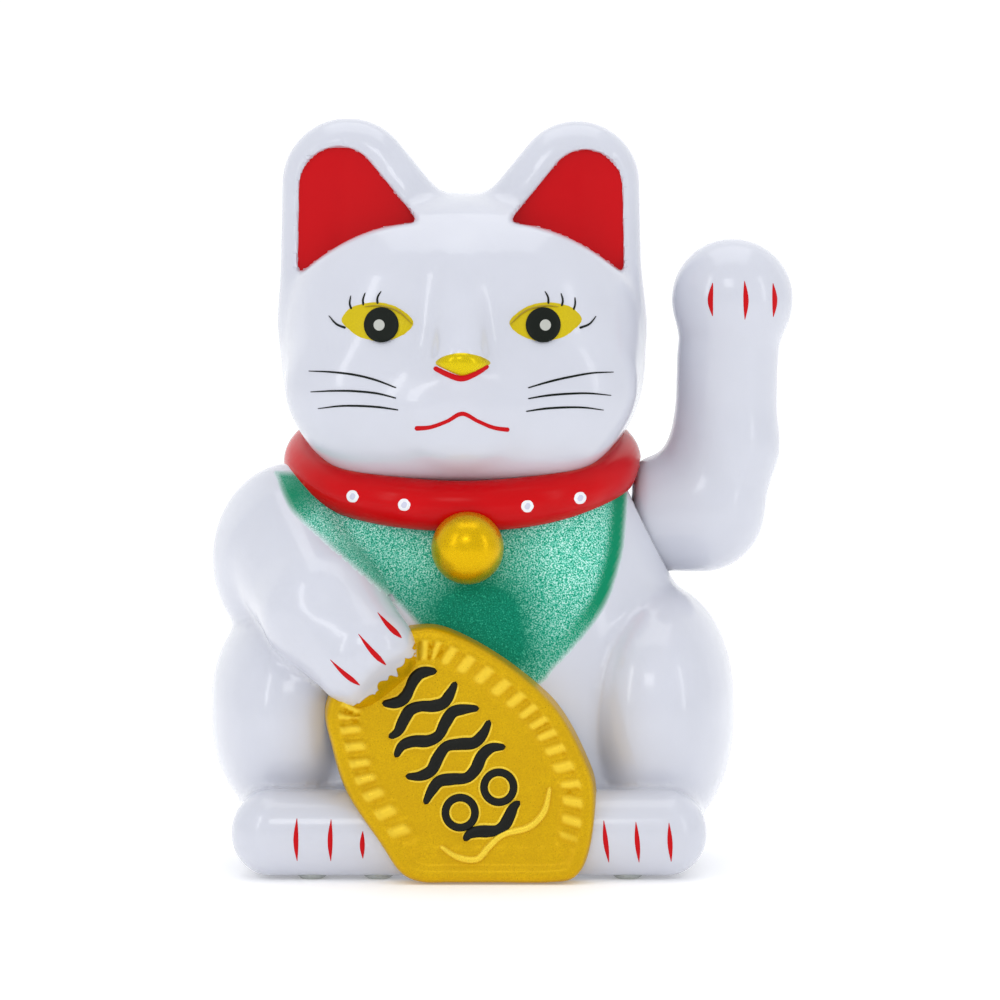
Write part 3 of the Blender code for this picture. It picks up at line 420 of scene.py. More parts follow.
def chest(x, y, z):
    """The body with its shoulder, haunches and feet, but not the resting arm."""
    d = superellipsoid(x, y, z, (1.5, 3, 30), (44, 36.5, 64), 2.3)
    shoulder = superellipsoid(x, y, z, (-33.6, -3, 61.3), (16.6, 18, 19.4))
    right_haunch = superellipsoid(x, y, z, (38.2, -3, 31), (17, 32, 25.5), 2.2)
    left_haunch = superellipsoid(x, y, z, (-33.7, -3, 31), (16.9, 31, 22.5), 2.2)
    left_foot = rounded_box(x, y, z, (-24.7, -24, 9.0), (20.5, 17.5, 8.6), 8.5)
    right_foot = rounded_box(x, y, z, (28.6, -24, 9.0), (20.0, 17.5, 8.6), 8.5)
    for part, blend in ((shoulder, 7), (right_haunch, 3), (left_haunch, 3), (left_foot, 3), (right_foot, 3)):
        d = join(d, part, blend)
    return d


def torso(x, y, z):
    """The body with the resting arm, whose paw ends square on the coin."""
    upper = limb(x, y, z, (-33, -10, 63), tuple(WRIST), 14.5, 12)
    paw = limb(x, y, z, tuple(WRIST), tuple(PAW_END), 12, 10.5)
    paw = meet(join(upper, paw, 4), along_paw(x, y, z) - PAW_REACH, 2.5)
    return join(chest(x, y, z), paw, 3)


def cat_form(x, y, z):
    """Head and body, flat underneath, with a round well where the raised arm turns."""
    d = join(head(x, y, z), torso(x, y, z), 4)
    well = np.maximum(np.sqrt((y - PIVOT[0]) ** 2 + (z - PIVOT[1]) ** 2) - WELL_RADIUS, WELL_FLOOR - x)
    return np.maximum(meet(d, -well, SOFT_EDGE), BOTTOM_Z - z)


def opening(x, y):
    """Signed distance to the edge of the hole in the flat underside, which the base plate fills."""
    (cx, cy), (half_x, half_y) = OPENING
    (x0, y0), (x1, y1) = OPENING_LOBE
    oval = superellipsoid(x, y, 0, (cx, cy, 0), (half_x, half_y, 1), 2.3)
    lobe = rounded_box(x, y, 0, ((x0 + x1) / 2, (y0 + y1) / 2, 0), ((x1 - x0) / 2, (y1 - y0) / 2, 50), 4)
    return np.minimum(oval, lobe)


def arm_form(x, y, z):
    """The raised arm: root, elbow, forearm and paw, with the root cut flat."""
    elbow, middle, wrist = (48.6, SEAM_Y, 71.3), (53.4, 2.5, 84), (53.8, 1, 101)
    d = limb(x, y, z, (34, *PIVOT), elbow, 11.3, 12.3)
    d = join(d, limb(x, y, z, elbow, middle, 12.3, 10.3), 4)
    d = join(d, limb(x, y, z, middle, wrist, 10.2, 10.2), 5)
    d = join(d, superellipsoid(x, y, z, (54.7, -0.5, 113.6), (12.2, 11.2, 12.2)), 6)
    return meet(d, ARM_ROOT - x, 6)


def collar_form(x, y, z):
    """The collar's ring, tilted so that it is lowest in front."""
    c, s = math.cos(COLLAR_TILT), math.sin(COLLAR_TILT)
    a, b, h = x - COLLAR_CENTRE[0], y - COLLAR_CENTRE[1], z - COLLAR_CENTRE[2]
    flat, high = b * c + h * s, h * c - b * s
    return np.sqrt((np.sqrt(a * a + flat * flat) - COLLAR_RADIUS) ** 2 + high * high) - COLLAR_SECTION


def raised(form, height):
    """The same form with its surface moved out by height."""
    return lambda x, y, z: form(x, y, z) - height


# ---- meshing
def net(form, low, high, step):
    """A closed quad mesh of form: one point in each grid cell that the surface crosses, moved onto it."""
    axes = [np.arange(a, b + step, step) for a, b in zip(low, high)]
    solid = form(*np.meshgrid(*axes, indexing="ij", sparse=True)) < 0
    cells = [len(a) - 1 for a in axes]
    corners = [(i, j, k) for i in (0, 1) for j in (0, 1) for k in (0, 1)]
    filled = np.zeros(cells, np.int8)
    for i, j, k in corners:
        filled += solid[i:i + cells[0], j:j + cells[1], k:k + cells[2]]
    mixed = (filled > 0) & (filled < 8)
    where = np.argwhere(mixed)
    number = np.full(cells, -1)
    number[mixed] = np.arange(len(where))
    points = np.array(low) + (where + 0.5) * step
    quads = []
    for axis in range(3):
        one, two = (axis + 1) % 3, (axis + 2) % 3
        near = [slice(1, -1)] * 3
        near[axis] = slice(0, -1)
        far = list(near)
        far[axis] = slice(1, None)
        starts, ends = solid[tuple(near)], solid[tuple(far)]
        edges = np.argwhere(starts != ends)
        inward = ends[tuple(edges.T)]
        edges[:, one] += 1
        edges[:, two] += 1
        ring = []
        for back_one, back_two in ((0, 0), (1, 0), (1, 1), (0, 1)):
            cell = edges.copy()
            cell[:, one] -= back_one
            cell[:, two] -= back_two
            ring.append(number[tuple(cell.T)])
        ring = np.stack(ring, 1)
        ring[inward] = ring[inward][:, ::-1]
        quads.append(ring)
    return settle(points, form, step), np.concatenate(quads)


def slope_of(form, points):
    """The form's gradient at each point."""
    nudge = 0.01
    x, y, z = points.T
    return np.stack([
        form(x + nudge, y, z) - form(x - nudge, y, z),
        form(x, y + nudge, z) - form(x, y - nudge, z),
        form(x, y, z + nudge) - form(x, y, z - nudge),
    ], axis=1) / (2 * nudge)


def settle(points, form, step):
    """Moves points along the form's gradient until they lie on its surface."""
    start = points.copy()
    for _ in range(8):
        slope = slope_of(form, points)
        move = slope * (form(*points.T) / np.maximum((slope**2).sum(1), 0.05))[:, None]
        points = start + np.clip(points - move - start, -0.8 * step, 0.8 * step)
    return points


def placed(points):
    """Points in the cat's frame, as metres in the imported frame, kept inside the CAD's box."""
    return np.clip((np.asarray(points, float) + np.array(ORIGIN)) * MM, cad_low, cad_high).tolist()


def add_piece(name, points, faces, look, slot, body, angle=None):
    """A smooth mesh of one material. Edges that turn by more than angle degrees stay sharp."""
    mesh = bpy.data.meshes.new(name)
    mesh.from_pydata(placed(points), [], [list(map(int, f)) for f in faces])
    mesh.validate()
    mesh.shade_smooth()
    if angle:
        mesh.set_sharp_from_angle(angle=math.radians(angle))
    mesh.materials.append(look.made)
    made = bpy.data.objects.new(name, mesh)
    bpy.context.scene.collection.objects.link(made)
    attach(made, body)
    return made


def set_shade(made, name, values):
    """A number from 0 to 1 at each point, for the material to read."""
    data = made.data.attributes.new(name, "FLOAT", "POINT")
    data.data.foreach_set("value", np.asarray(values, np.float32))


def trimmed(points, quads, keep_front):
    """The part of a skin on one side of the seam, cut true, and the edges along that cut."""
    bm = bmesh.new()
    verts = [bm.verts.new(p) for p in points.tolist()]
    side = points[:, 1]
    for quad in quads.tolist():
        ys = side[quad]
        if (ys.min() < SEAM_Y + 2) if keep_front else (ys.max() > SEAM_Y - 2):
            bm.faces.new([verts[i] for i in quad])
    bmesh.ops.delete(bm, geom=[v for v in bm.verts if not v.link_faces], context="VERTS")
    cut = SEAM_Y + (-SEAM_GAP if keep_front else SEAM_GAP) / 2
    normal = (0, 1, 0) if keep_front else (0, -1, 0)
    bmesh.ops.bisect_plane(bm, geom=bm.verts[:] + bm.edges[:] + bm.faces[:], plane_co=(0, cut, 0),
                           plane_no=normal, clear_outer=True)
    rim = [e for e in bm.edges if e.is_boundary and all(abs(v.co.y - cut) < 1e-4 for v in e.verts)]
    return bm, rim


def taken(bm):
    """The points and faces of a bmesh, which is then freed."""
    bm.verts.index_update()
    points = np.array([tuple(v.co) for v in bm.verts])
    faces = [[v.index for v in f.verts] for f in bm.faces]
    bm.free()
    return points, faces


def skin(name, points, quads, form, front, body):
    """One white moulding's visible skin, with a lip turned in along the seam."""
    bm, rim = trimmed(points, quads, front)
    edge_verts = list(dict.fromkeys(v for edge in rim for v in edge.verts))
    at = np.array([tuple(v.co) for v in edge_verts])
    slope = slope_of(form, at)
    slope[:, 1] = 0
    slope /= np.maximum(np.linalg.norm(slope, axis=1), 1e-6)[:, None]
    partner = {v: bm.verts.new(p) for v, p in zip(edge_verts, (at - SEAM_LIP * slope).tolist())}
    for edge in rim:
        loop = next(loop for loop in edge.link_faces[0].loops if loop.edge is edge)
        a, b = loop.vert, loop.link_loop_next.vert
        bm.faces.new((b, a, partner[a], partner[b]))
    return add_piece(name, *taken(bm), WHITE, "shell_white", body, angle=50)


# ---- paint, drawn in the x, z plane from the front
NEAR_Y = -62.0  # in front of every form
MISSED_Y = 30.0  # where front_of leaves a point that lies beside the form
SUNK_EDGE = 0.06  # how far a stroke's sides go under the surface


def front_of(form, x, z):
    """y of the form's surface as seen from the front, for points that have one."""
    y = np.full(len(x), NEAR_Y)
    for _ in range(160):
        y = np.minimum(y + np.maximum(form(x, y, z) * 0.6, 0), MISSED_Y)
    return y


def inside(points, outline):
    """Which points lie within a closed outline."""
    x, z = points[:, 0:1], points[:, 1:2]
    a, b = outline, np.roll(outline, -1, axis=0)
    crosses = (a[:, 1] > z) != (b[:, 1] > z)
    climb = np.where(b[:, 1] == a[:, 1], 1e-9, b[:, 1] - a[:, 1])
    slant = (b[:, 0] - a[:, 0]) * (z - a[:, 1]) / climb + a[:, 0]
    return (crosses & (x < slant)).sum(1) % 2 == 1


def edge_distance(points, line, closed=True):
    """Distance from each point to the nearest segment of a line, and how far along it that is."""
    a = line if closed else line[:-1]
    b = np.roll(line, -1, axis=0) if closed else line[1:]
    step = b - a
    length = np.maximum((step**2).sum(1), 1e-12)
    t = np.clip(((points[:, None] - a) * step).sum(2) / length, 0, 1)
    gap = np.linalg.norm(points[:, None] - a - t[..., None] * step, axis=2)
    nearest = gap.argmin(1)
    run = np.concatenate([[0], np.cumsum(np.sqrt(length))])
    rows = np.arange(len(points))
    return gap[rows, nearest], run[nearest] + t[rows, nearest] * np.sqrt(length)[nearest]


def curve(points, steps, closed=False):
    """Catmull-Rom through the points, of any number of columns."""
    p = np.array(points, float)
    if closed:
        p = np.concatenate([p[-1:], p, p[:2]])
    else:
        p = np.concatenate([2 * p[:1] - p[1:2], p, 2 * p[-1:] - p[-2:-1]])
    out = []
    for a, b, c, d in zip(p, p[1:], p[2:], p[3:]):
        for k in range(steps):
            t = k / steps
            square, cube = 2 * a - 5 * b + 4 * c - d, 3 * b - a - 3 * c + d
            out.append(0.5 * (2 * b + (c - a) * t + square * t**2 + cube * t**3))
    if not closed:
        out.append(p[-2])
    return np.array(out)


def filled(outline, spacing):
    """Points and triangles that fill an outline, about spacing apart."""
    low, high = outline.min(0), outline.max(0)
    xs = np.arange(low[0], high[0], spacing)
    zs = np.arange(low[1], high[1], spacing * 0.87)
    grid = np.array([(x + (row % 2) * spacing / 2, z) for row, z in enumerate(zs) for x in xs])
    grid = grid[inside(grid, outline)]
    grid = grid[edge_distance(grid, outline)[0] > spacing * 0.45]
    points = np.concatenate([outline, grid])
    ring = list(range(len(outline)))
    made = delaunay_2d_cdt([Vector(p) for p in points], [], [ring], 1, 1e-6)
    return np.array([tuple(v) for v in made[0]]), made[2]


def on_form(flat, height, form):
    """Points of the x, z plane laid on the form's front and raised by height."""
    x, z = flat.T
    points = np.stack([x, front_of(form, x, z), z], 1)
    slope = slope_of(form, points)
    slope /= np.maximum(np.linalg.norm(slope, axis=1), 1e-6)[:, None]
    return points + slope * height[:, None]


def patch(name, outline, look, slot, form=cat_form, lift=0.12, dome=0.0, spacing=0.7, edge=0.35, base=-0.05):
    """A painted shape on the figure: as thick as lift a little way in from its edge, and domed if asked.

    Faces beside the form, or running steeply back along its side, are left out. Returns the piece, with its
    points in the plane and their distance to the outline.
    """
    outline = np.array(outline, float)
    flat, faces = filled(outline, spacing)
    gap = edge_distance(flat, outline)[0]
    height = base + (lift - base) * np.clip(gap / edge, 0, 1) ** 0.5
    if dome:
        height += dome * (1 - (1 - np.clip(gap / gap.max(), 0, 1)) ** 2)
    points = on_form(flat, height, form)
    whole = []
    for face in map(list, faces):
        deep = points[face, 1]
        if np.ptp(deep) < 6 * spacing and deep.max() < MISSED_Y - 1:
            whole.append(face)
    used = np.unique(np.concatenate(whole))
    number = np.full(len(points), -1)
    number[used] = np.arange(len(used))
    faces = facing_front(points[used], [number[face].tolist() for face in whole])
    made = add_piece(name, points[used], faces, look, slot, FIGURE)
    return made, flat[used], gap[used]


def facing_front(points, faces):
    """The same faces, each wound so that it looks to the front."""
    out = []
    for face in faces:
        a, b, c = (points[i] for i in face[:3])
        out.append(face if np.cross(b - a, c - a)[1] < 0 else face[::-1])
    return out


def disc(x, z, radius, count=40):
    turn = np.linspace(0, 2 * math.pi, count, endpoint=False)
    return np.stack([x + radius * np.cos(turn), z + radius * np.sin(turn)], 1)


def stroke_mesh(path, widths, lift, columns=7, spacing=0.22, closed=False):
    """A brush stroke in the plane, with round ends unless closed: its points, their heights and its faces."""
    line = curve(path, 10)
    run = np.concatenate([[0], np.cumsum(np.linalg.norm(np.diff(line, axis=0), axis=1))])
    count = max(8, int(run[-1] / spacing))
    at = np.linspace(0, run[-1], count)
    line = np.stack([np.interp(at, run, line[:, 0]), np.interp(at, run, line[:, 1])], 1)
    wide = np.interp(at / run[-1], np.linspace(0, 1, len(widths)), widths)
    if not closed:
        end = np.minimum(at, run[-1] - at) / (wide / 2)
        wide = wide * np.sqrt(np.clip(1 - (1 - np.clip(end, 0, 1)) ** 2, 0.01, 1))
    along = np.gradient(line, axis=0)
    if closed:
        along[0] = along[-1] = line[1] - line[-2]
    along /= np.maximum(np.linalg.norm(along, axis=1), 1e-9)[:, None]
    across = np.stack([-along[:, 1], along[:, 0]], 1)
    s = np.linspace(-1, 1, columns)
    flat = (line[:, None] + across[:, None] * (s[:, None] * wide[:, None, None] / 2)).reshape(-1, 2)
    rise = np.sqrt(np.clip(1 - np.abs(s) ** 3, 0, 1)) * np.clip(wide / wide.max() * 2, 0, 1)[:, None]
    height = (-SUNK_EDGE + (lift + SUNK_EDGE) * rise).ravel()
    starts = [i * columns + j for i in range(count - 1) for j in range(columns - 1)]
    return flat, height, [[a, a + 1, a + columns + 1, a + columns] for a in starts]


def stroke(name, path, widths, look, slot, body=FIGURE, form=cat_form, lift=0.12):
    flat, height, faces = stroke_mesh(path, widths, lift)
    points = on_form(flat, height, form)
    return add_piece(name, points, facing_front(points, faces), look, slot, body)


def spindle(widest, at=0.5):
    """Widths of a claw mark: pointed at both ends and widest a share of the way along."""
    tip = 0.12
    t = np.linspace(0, 1, 9)
    rise = np.where(t < at, t / at, (1 - t) / (1 - at))
    return tip + (widest - tip) * np.sin(rise * math.pi / 2) ** 1.2


def claws(name, paths, widths, body=FIGURE, form=cat_form):
    for number, path in enumerate(paths, 1):
        stroke(f"{name}_{number}", path, widths, PAINT_RED, "paint_red", body, form)


# ---- skins
def open_underside(points, quads):
    """Takes away the flat underside inside the opening, and turns the edge up as a short wall."""
    gone = (np.abs(points[:, 2] - BOTTOM_Z) < 0.1) & (opening(points[:, 0], points[:, 1]) < 0)
    cut = gone[quads].any(1)
    ring = np.zeros(len(points), bool)
    ring[quads[cut]] = True
    ring &= ~gone
    x, y = points[ring, 0], points[ring, 1]
    nudge = 0.05
    for _ in range(5):
        away = opening(x, y)
        slope_x = (opening(x + nudge, y) - opening(x - nudge, y)) / (2 * nudge)
        slope_y = (opening(x, y + nudge) - opening(x, y - nudge)) / (2 * nudge)
        size = np.maximum(slope_x**2 + slope_y**2, 0.05)
        x, y = x - away * slope_x / size, y - away * slope_y / size
    points = points.copy()
    points[ring, 0], points[ring, 1] = x, y
    kept = quads[~cut]
    edges = np.concatenate([kept[:, [i, (i + 1) % 4]] for i in range(4)])
    _, first, counts = np.unique(np.sort(edges, 1), axis=0, return_index=True, return_counts=True)
    rim = edges[first[counts == 1]]
    number = np.full(len(points), -1)
    lower = np.unique(rim)
    number[lower] = len(points) + np.arange(len(lower))
    upper = points[lower] + (0, 0, OPENING_WALL)
    wall = np.stack([rim[:, 1], rim[:, 0], number[rim[:, 0]], number[rim[:, 1]]], 1)
    return np.concatenate([points, upper]), np.concatenate([kept, wall])


def build_figure():
    points, quads = net(cat_form, (-58, -54, -2), (62, 48, 156), SKIN_STEP)
    points, quads = open_underside(points, quads)
    front = skin("front_skin", points, quads, cat_form, True, FIGURE)
    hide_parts("front_shell")
    back = skin("back_skin", points, quads, cat_form, False, FIGURE)
    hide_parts("back_shell")


PAW_EDGE = ((-8.0, 49.2), (-8.6, 48.2), (-9.2, 46.4), (-10.6, 43.6), (-12.8, 41.2), (-15.2, 39.4),
            (-16.6, 37.2), (-19.8, 35.6), (-22.4, 33.4), (-24.2, 33.8), (-25.6, 33.4))


def build_gilding():
    """Where the coin's gold paint laps over the fingertips, with a ragged edge."""
    edge = curve(PAW_EDGE, 10)
    t = np.arange(len(edge))
    ragged = np.stack([np.sin(t * 0.33) + np.sin(t * 0.8 + 1), np.cos(t * 0.4) + np.sin(t * 0.9)], 1)
    edge += 0.35 * ragged
    outline = np.concatenate([edge, [(-20.0, 28.0), (-8.0, 34.0), (-2.0, 46.0)]])
    patch("paw_gilding", outline, COIN_GOLD, "coin_gold", lift=0.2, spacing=0.5, base=0.04)


def build_arm():
    points, quads = net(arm_form, (26, -16, 50), (72, 20, 132), ARM_STEP)
    halves = ((True, "arm_front_skin", "arm_front_shell"), (False, "arm_back_skin", "arm_back_shell"))
    for front, name, node in halves:
        made = skin(name, points, quads, arm_form, front, ARM)
        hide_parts(node)
    paths = (((50.4, 117.3), (49.9, 113.6), (50.4, 110.2)), ((56.7, 117.7), (57.0, 113.6), (56.8, 109.5)),
             ((62.5, 117.2), (62.9, 113.6), (62.6, 110.0)))
    claws("arm_claw", paths, spindle(1.25), ARM, arm_form)


# ---- face
def build_ears():
    """The flat red faces: each is a sheet just over the sunk face, running a little way under its rim."""
    above, under_rim = 0.4, 0.5
    turn = np.linspace(0, 2 * math.pi, 120, endpoint=False)
    way = np.stack([np.cos(turn), np.sin(turn)], 1)
    for side, name in ((-1, "left"), (1, "right")):
        middle = np.array((side * 24.0, 132.0))
        reach = np.zeros(len(turn))
        for _ in range(80):
            at = middle + way * reach[:, None]
            reach += np.clip(under_rim - ear_pocket(*at.T), -1.0, 1.0) * 0.5
        flat, faces = filled(middle + way * reach[:, None], 1.2)
        points = np.stack([flat[:, 0], ear_front(*flat.T) + EAR_SINK - above, flat[:, 1]], 1)
        add_piece(f"ear_{name}_red", points, facing_front(points, faces), PAINT_RED, "paint_red", FIGURE)


EYE = ((-23.7, 110.0), (-21.9, 112.4), (-18.9, 113.4), (-15.9, 113.6), (-12.3, 112.6), (-9.2, 109.9),
       (-10.7, 107.4), (-14.9, 105.8), (-19.4, 106.4), (-21.9, 107.9))
PUPIL_Z = 109.1


def build_eyes():
    """Each eye's yellow, black disc, grey dot and painted lid shadow. The right eye is mirrored, a little
    further out.
    """
    for side, name, shift, pupil_x in ((1, "left", 0.0, -15.6), (-1, "right", 0.4, 16.3)):
        outline = curve([(x - shift, z) for x, z in EYE], 5, closed=True) * np.array((side, 1))
        if side < 0:
            outline = outline[::-1]
        patch(f"eye_{name}_yellow", outline, YELLOW, "paint_yellow", lift=0.1, dome=0.3, spacing=0.6)
        over_yellow = raised(cat_form, 0.4)
        patch(f"eye_{name}_black", disc(pupil_x, PUPIL_Z, 3.45), PAINT_BLACK, "paint_black", over_yellow,
              lift=0.25, base=0.08)
        patch(f"eye_{name}_dot", disc(pupil_x - 0.45 * side, PUPIL_Z, 1.1, 24), PAINT_GREY, "paint_grey",
              raised(cat_form, 0.68), spacing=0.5)
        # Painted shadow just inside the top of each eye, where the lid shades it.
        lid_shadow = [(side * (x - shift - 0.1), z - 0.75) for x, z in EYE[2:6]]
        widths = (0.1, 0.35, 0.35, 0.1)
        stroke(f"eye_{name}_crease", lid_shadow, widths, EYE_LID_SHADOW, "paint_gold", form=over_yellow)


LASHES = {
    "left": (((-21.1, 111.4), (-21.9, 113.0), (-21.7, 114.9)),
             ((-18.9, 112.2), (-19.3, 113.8), (-18.8, 115.5)),
             ((-16.3, 112.8), (-16.4, 114.4), (-15.6, 115.8)),
             ((-22.6, 108.4), (-24.6, 109.2), (-26.2, 110.9))),
    "right": (((17.3, 112.8), (17.3, 114.4), (16.6, 115.8)), ((19.8, 112.3), (20.2, 113.8), (19.8, 115.4)),
              ((21.8, 111.2), (22.6, 112.8), (22.6, 114.6)), ((23.4, 108.4), (25.5, 109.2), (26.9, 110.8))),
}
WHISKERS = {
    "left": (((-30.2, 99.9), (-25.5, 99.8), (-20.8, 99.3), (-16.6, 98.3), (-12.5, 96.8)),
             ((-29.8, 95.8), (-25.0, 96.1), (-20.8, 96.1), (-16.4, 95.7), (-12.5, 94.8)),
             ((-28.3, 92.5), (-24.0, 93.1), (-20.2, 93.2), (-16.0, 93.0), (-12.1, 92.5))),
    "right": (((30.4, 99.7), (26.0, 99.6), (21.6, 98.9), (17.5, 98.0), (13.2, 96.8)),
              ((29.9, 95.1), (25.5, 95.6), (21.6, 95.6), (17.2, 95.3), (13.2, 94.7)),
              ((28.4, 92.2), (24.5, 92.8), (20.6, 92.9), (16.6, 92.7), (12.8, 92.2))),
}


def build_face():
    build_eyes()
    lash, whisker = (0.55, 0.5, 0.4, 0.18), (0.2, 0.42, 0.5, 0.5, 0.3)
    for name in ("left", "right"):
        for number, path in enumerate(LASHES[name], 1):
            stroke(f"lash_{name}_{number}", path, lash, PAINT_BLACK, "paint_black", lift=0.16)
        for number, path in enumerate(WHISKERS[name], 1):
            stroke(f"whisker_{name}_{number}", path, whisker, PAINT_BLACK, "paint_black")
    nose = ((-5.0, 101.8), (-3.0, 103.3), (0.5, 103.9), (4.2, 103.1), (6.0, 101.7), (3.9, 100.4), (0.4, 99.3),
            (-2.9, 100.5))
    patch("nose_gold", curve(nose, 6, closed=True), NOSE_GOLD, "paint_gold", lift=0.1, dome=0.5, spacing=0.6)
    under_nose = ((-5.2, 100.9), (-2.5, 99.6), (0.3, 98.8), (3.1, 99.8), (5.5, 101.3))
    stroke("nose_line", under_nose, (1.0, 1.15, 1.25, 1.15, 1.0), PAINT_RED, "paint_red", lift=0.35)
    mouth = ((-9.0, 88.9), (-5.9, 89.2), (-2.6, 90.4), (0.4, 91.9), (3.5, 90.4), (6.6, 89.1), (9.7, 88.6))
    stroke("mouth", mouth, (1.1, 0.85, 0.8, 0.95, 0.8, 0.85, 1.0), PAINT_RED, "paint_red", lift=0.2)


def build_claws():
    paw = (((-16.3, 53.4), (-13.9, 50.7), (-11.3, 48.2)), ((-20.0, 49.6), (-17.3, 46.2), (-14.3, 43.0)),
           ((-25.5, 44.4), (-22.6, 41.6), (-19.4, 39.1)))
    left = (((-32.0, 12.9), (-32.2, 8.3), (-32.0, 3.9)), ((-25.3, 12.7), (-25.5, 8.3), (-25.4, 3.9)),
            ((-19.1, 10.4), (-19.2, 7.4), (-19.1, 4.5)))
    right = (((28.1, 12.5), (28.5, 8.1), (29.2, 3.6)), ((34.4, 12.2), (34.7, 8.0), (35.1, 3.6)),
             ((40.9, 12.0), (41.1, 8.0), (41.4, 3.8)))
    claws("paw_claw", paw, spindle(1.2, at=0.7))
    claws("foot_left_claw", left, spindle(1.15))
    claws("foot_right_claw", right, spindle(1.15))


# ---- collar, bell and bib
def build_collar():
    """The ring, split at the back and flattened beside the arm's root, with its four dots."""
    rings, sides = ((260, 32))
    tilt = Matrix.Rotation(COLLAR_TILT, 3, "X")
    points, faces = [], []
    for a in np.linspace(math.pi / 2 + COLLAR_SPLIT, math.pi * 2.5 - COLLAR_SPLIT, rings):
        for j in range(sides):
            b = 2 * math.pi * j / sides
            r = COLLAR_RADIUS + COLLAR_SECTION * math.cos(b)
            level = Vector((r * math.cos(a), r * math.sin(a), COLLAR_SECTION * math.sin(b)))
            points.append(tuple(tilt @ level + Vector(COLLAR_CENTRE)))
    points = np.array(points)
    near_arm = np.hypot(points[:, 1] - PIVOT[0], points[:, 2] - PIVOT[1]) < ARM_ROOM
    points[near_arm & (points[:, 0] > COLLAR_FLAT), 0] = COLLAR_FLAT
    for i in range(rings - 1):
        for j in range(sides):
            k = (j + 1) % sides
            faces.append([i * sides + j, (i + 1) * sides + j, (i + 1) * sides + k, i * sides + k])
    faces.append(list(range(sides)))
    faces.append([(rings - 1) * sides + j for j in reversed(range(sides))])
    made = add_piece("collar_ring", points, faces, COLLAR, "collar_red", FIGURE, angle=60)
    upper = points[:, 2] > COLLAR_CENTRE[2] + (points[:, 1] - COLLAR_CENTRE[1]) * math.tan(COLLAR_TILT)
    near_head = np.clip(1 - cat_form(*points.T) / 0.6, 0, 1)
    set_shade(made, "faded", np.where(upper, near_head**2 * 0.25, 0))
    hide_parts("collar")
    for number, (x, z) in enumerate(((-21.4, 75.1), (-11.1, 73.7), (13.2, 73.4), (23.7, 74.7)), 1):
        patch(f"collar_dot_{number}", disc(x, z, 1.3, 28), PAINT_WHITE, "paint_white", collar_form,
              spacing=0.5)
        patch(f"collar_dot_centre_{number}", disc(x, z, 0.85, 22), PAINT_LILAC, "paint_grey",
              raised(collar_form, 0.1), lift=0.06, spacing=0.4)


def build_bell():
    """A plain ball, a hair inside the CAD's."""
    bm = bmesh.new()
    bmesh.ops.create_icosphere(bm, subdivisions=5, radius=BELL_RADIUS - 0.1)
    points, faces = taken(bm)
    bell = add_piece("bell_ball", points + np.array(BELL_CENTRE), faces, BELL_GOLD, "bell_gold", FIGURE)
    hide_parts("bell")


BIB_RIGHT = ((15.2, 37.8), (22.5, 45.0), (26.4, 49.5), (29.7, 54.6), (32.4, 63.0), (33.2, 68.9),
             (33.7, 73.7), (33.9, 78.0))
BIB = ((-37.0, 79.6), (-37.0, 77.5), (-35.9, 74.8), (-33.6, 71.4), (-27.2, 66.2), (-20.4, 60.6),
       (-14.6, 55.6), (-9.8, 51.0), (-6.4, 46.5), (-2.4, 42.0), (4.0, 36.0), BIB_RIGHT[0], (18.6, 41.0),
       *BIB_RIGHT[1:], (24.0, 78.0), (12.0, 76.0), (0.0, 76.0), (-12.0, 76.0), (-24.0, 78.5))


def build_bib():
    """The painted bib: pale at its edge, dark along the right side and in the left corner, partly as painted
    shade.
    """
    spacing = 0.8
    made, flat, gap = patch("bib", curve(BIB, 6, closed=True), GREEN, "bib_green", spacing=spacing, edge=0.6)
    x, z = flat.T
    right = edge_distance(flat, curve(BIB_RIGHT[::-1], 6), closed=False)[0]
    set_shade(made, "faded", np.clip(1 - gap / 1.3, 0, 1) ** 1.3)
    # Right side: partly denser paint, partly painted shade on the sloping edge; left corner: painted shade.
    edge_paint_and_shade = np.clip(1.7 - np.abs(right - 1.8) / 1.5, 0, 1) * np.clip((z - 42) / 12, 0, 1)
    edge_paint_and_shade = np.maximum(edge_paint_and_shade, np.clip(1 - np.hypot(x + 33.5, z - 75) / 6.0, 0, 1) ** 0.6)
    set_shade(made, "edge_paint_and_shade", np.clip(edge_paint_and_shade, 0, 1))

    def spot(cx, cz, rx, rz):
        return np.exp(-((x - cx) / rx) ** 2 - ((z - cz) / rz) ** 2)

    # Painted light and shade: lighter patches near the collar, darker ones on the middle of the chest.
    bright = 0.5 + 0.6 * spot(-22, 70, 12, 6) + 0.6 * spot(22, 66, 9, 14) + 0.3 * spot(-8, 63, 8, 5)
    bright += 0.15 * spot(16, 46, 8, 8) - 1.0 * spot(4, 52, 10, 7) - 0.5 * spot(10, 44, 8, 5)
    set_shade(made, "bright", np.clip(bright, 0, 1))


# ---- coin
COIN_EDGE = ((-8.3, 49.8), (-1.8, 49.0), (8.6, 43.2), (18.6, 34.3), (24.7, 23.5), (26.3, 16.8), (25.4, 7.5),
             (22.6, 1.6), (17.0, 0.4), (8.0, 0.4), (-2.0, 0.4), (-7.5, 0.5), (-11.7, 2.4), (-15.6, 8.0),
             (-21.9, 17.4), (-24.9, 26.2), (-26.2, 33.8), (-22.5, 41.0), (-15.5, 47.5))
COIN_ROUND = 1.5  # radius of the rounded edge
COIN_SIDE = ((1.0, 0.05), (3.0, 0.25), (7.0, 0.55))  # depth behind that edge, and how much wider it is there
RIBS = 42
RIB_END = 7.2  # how far in from the edge the ribs reach
FIELD_DEPTH = 0.65


def coin_point(x, z, height):
    """Points of the coin, from x and z as seen from the front and how far they stand out of its face."""
    y = COIN_FACE[0] + (z - COIN_FACE[1]) * math.tan(COIN_TILT)
    return np.stack([x, y - height * math.cos(COIN_TILT), z], 1)


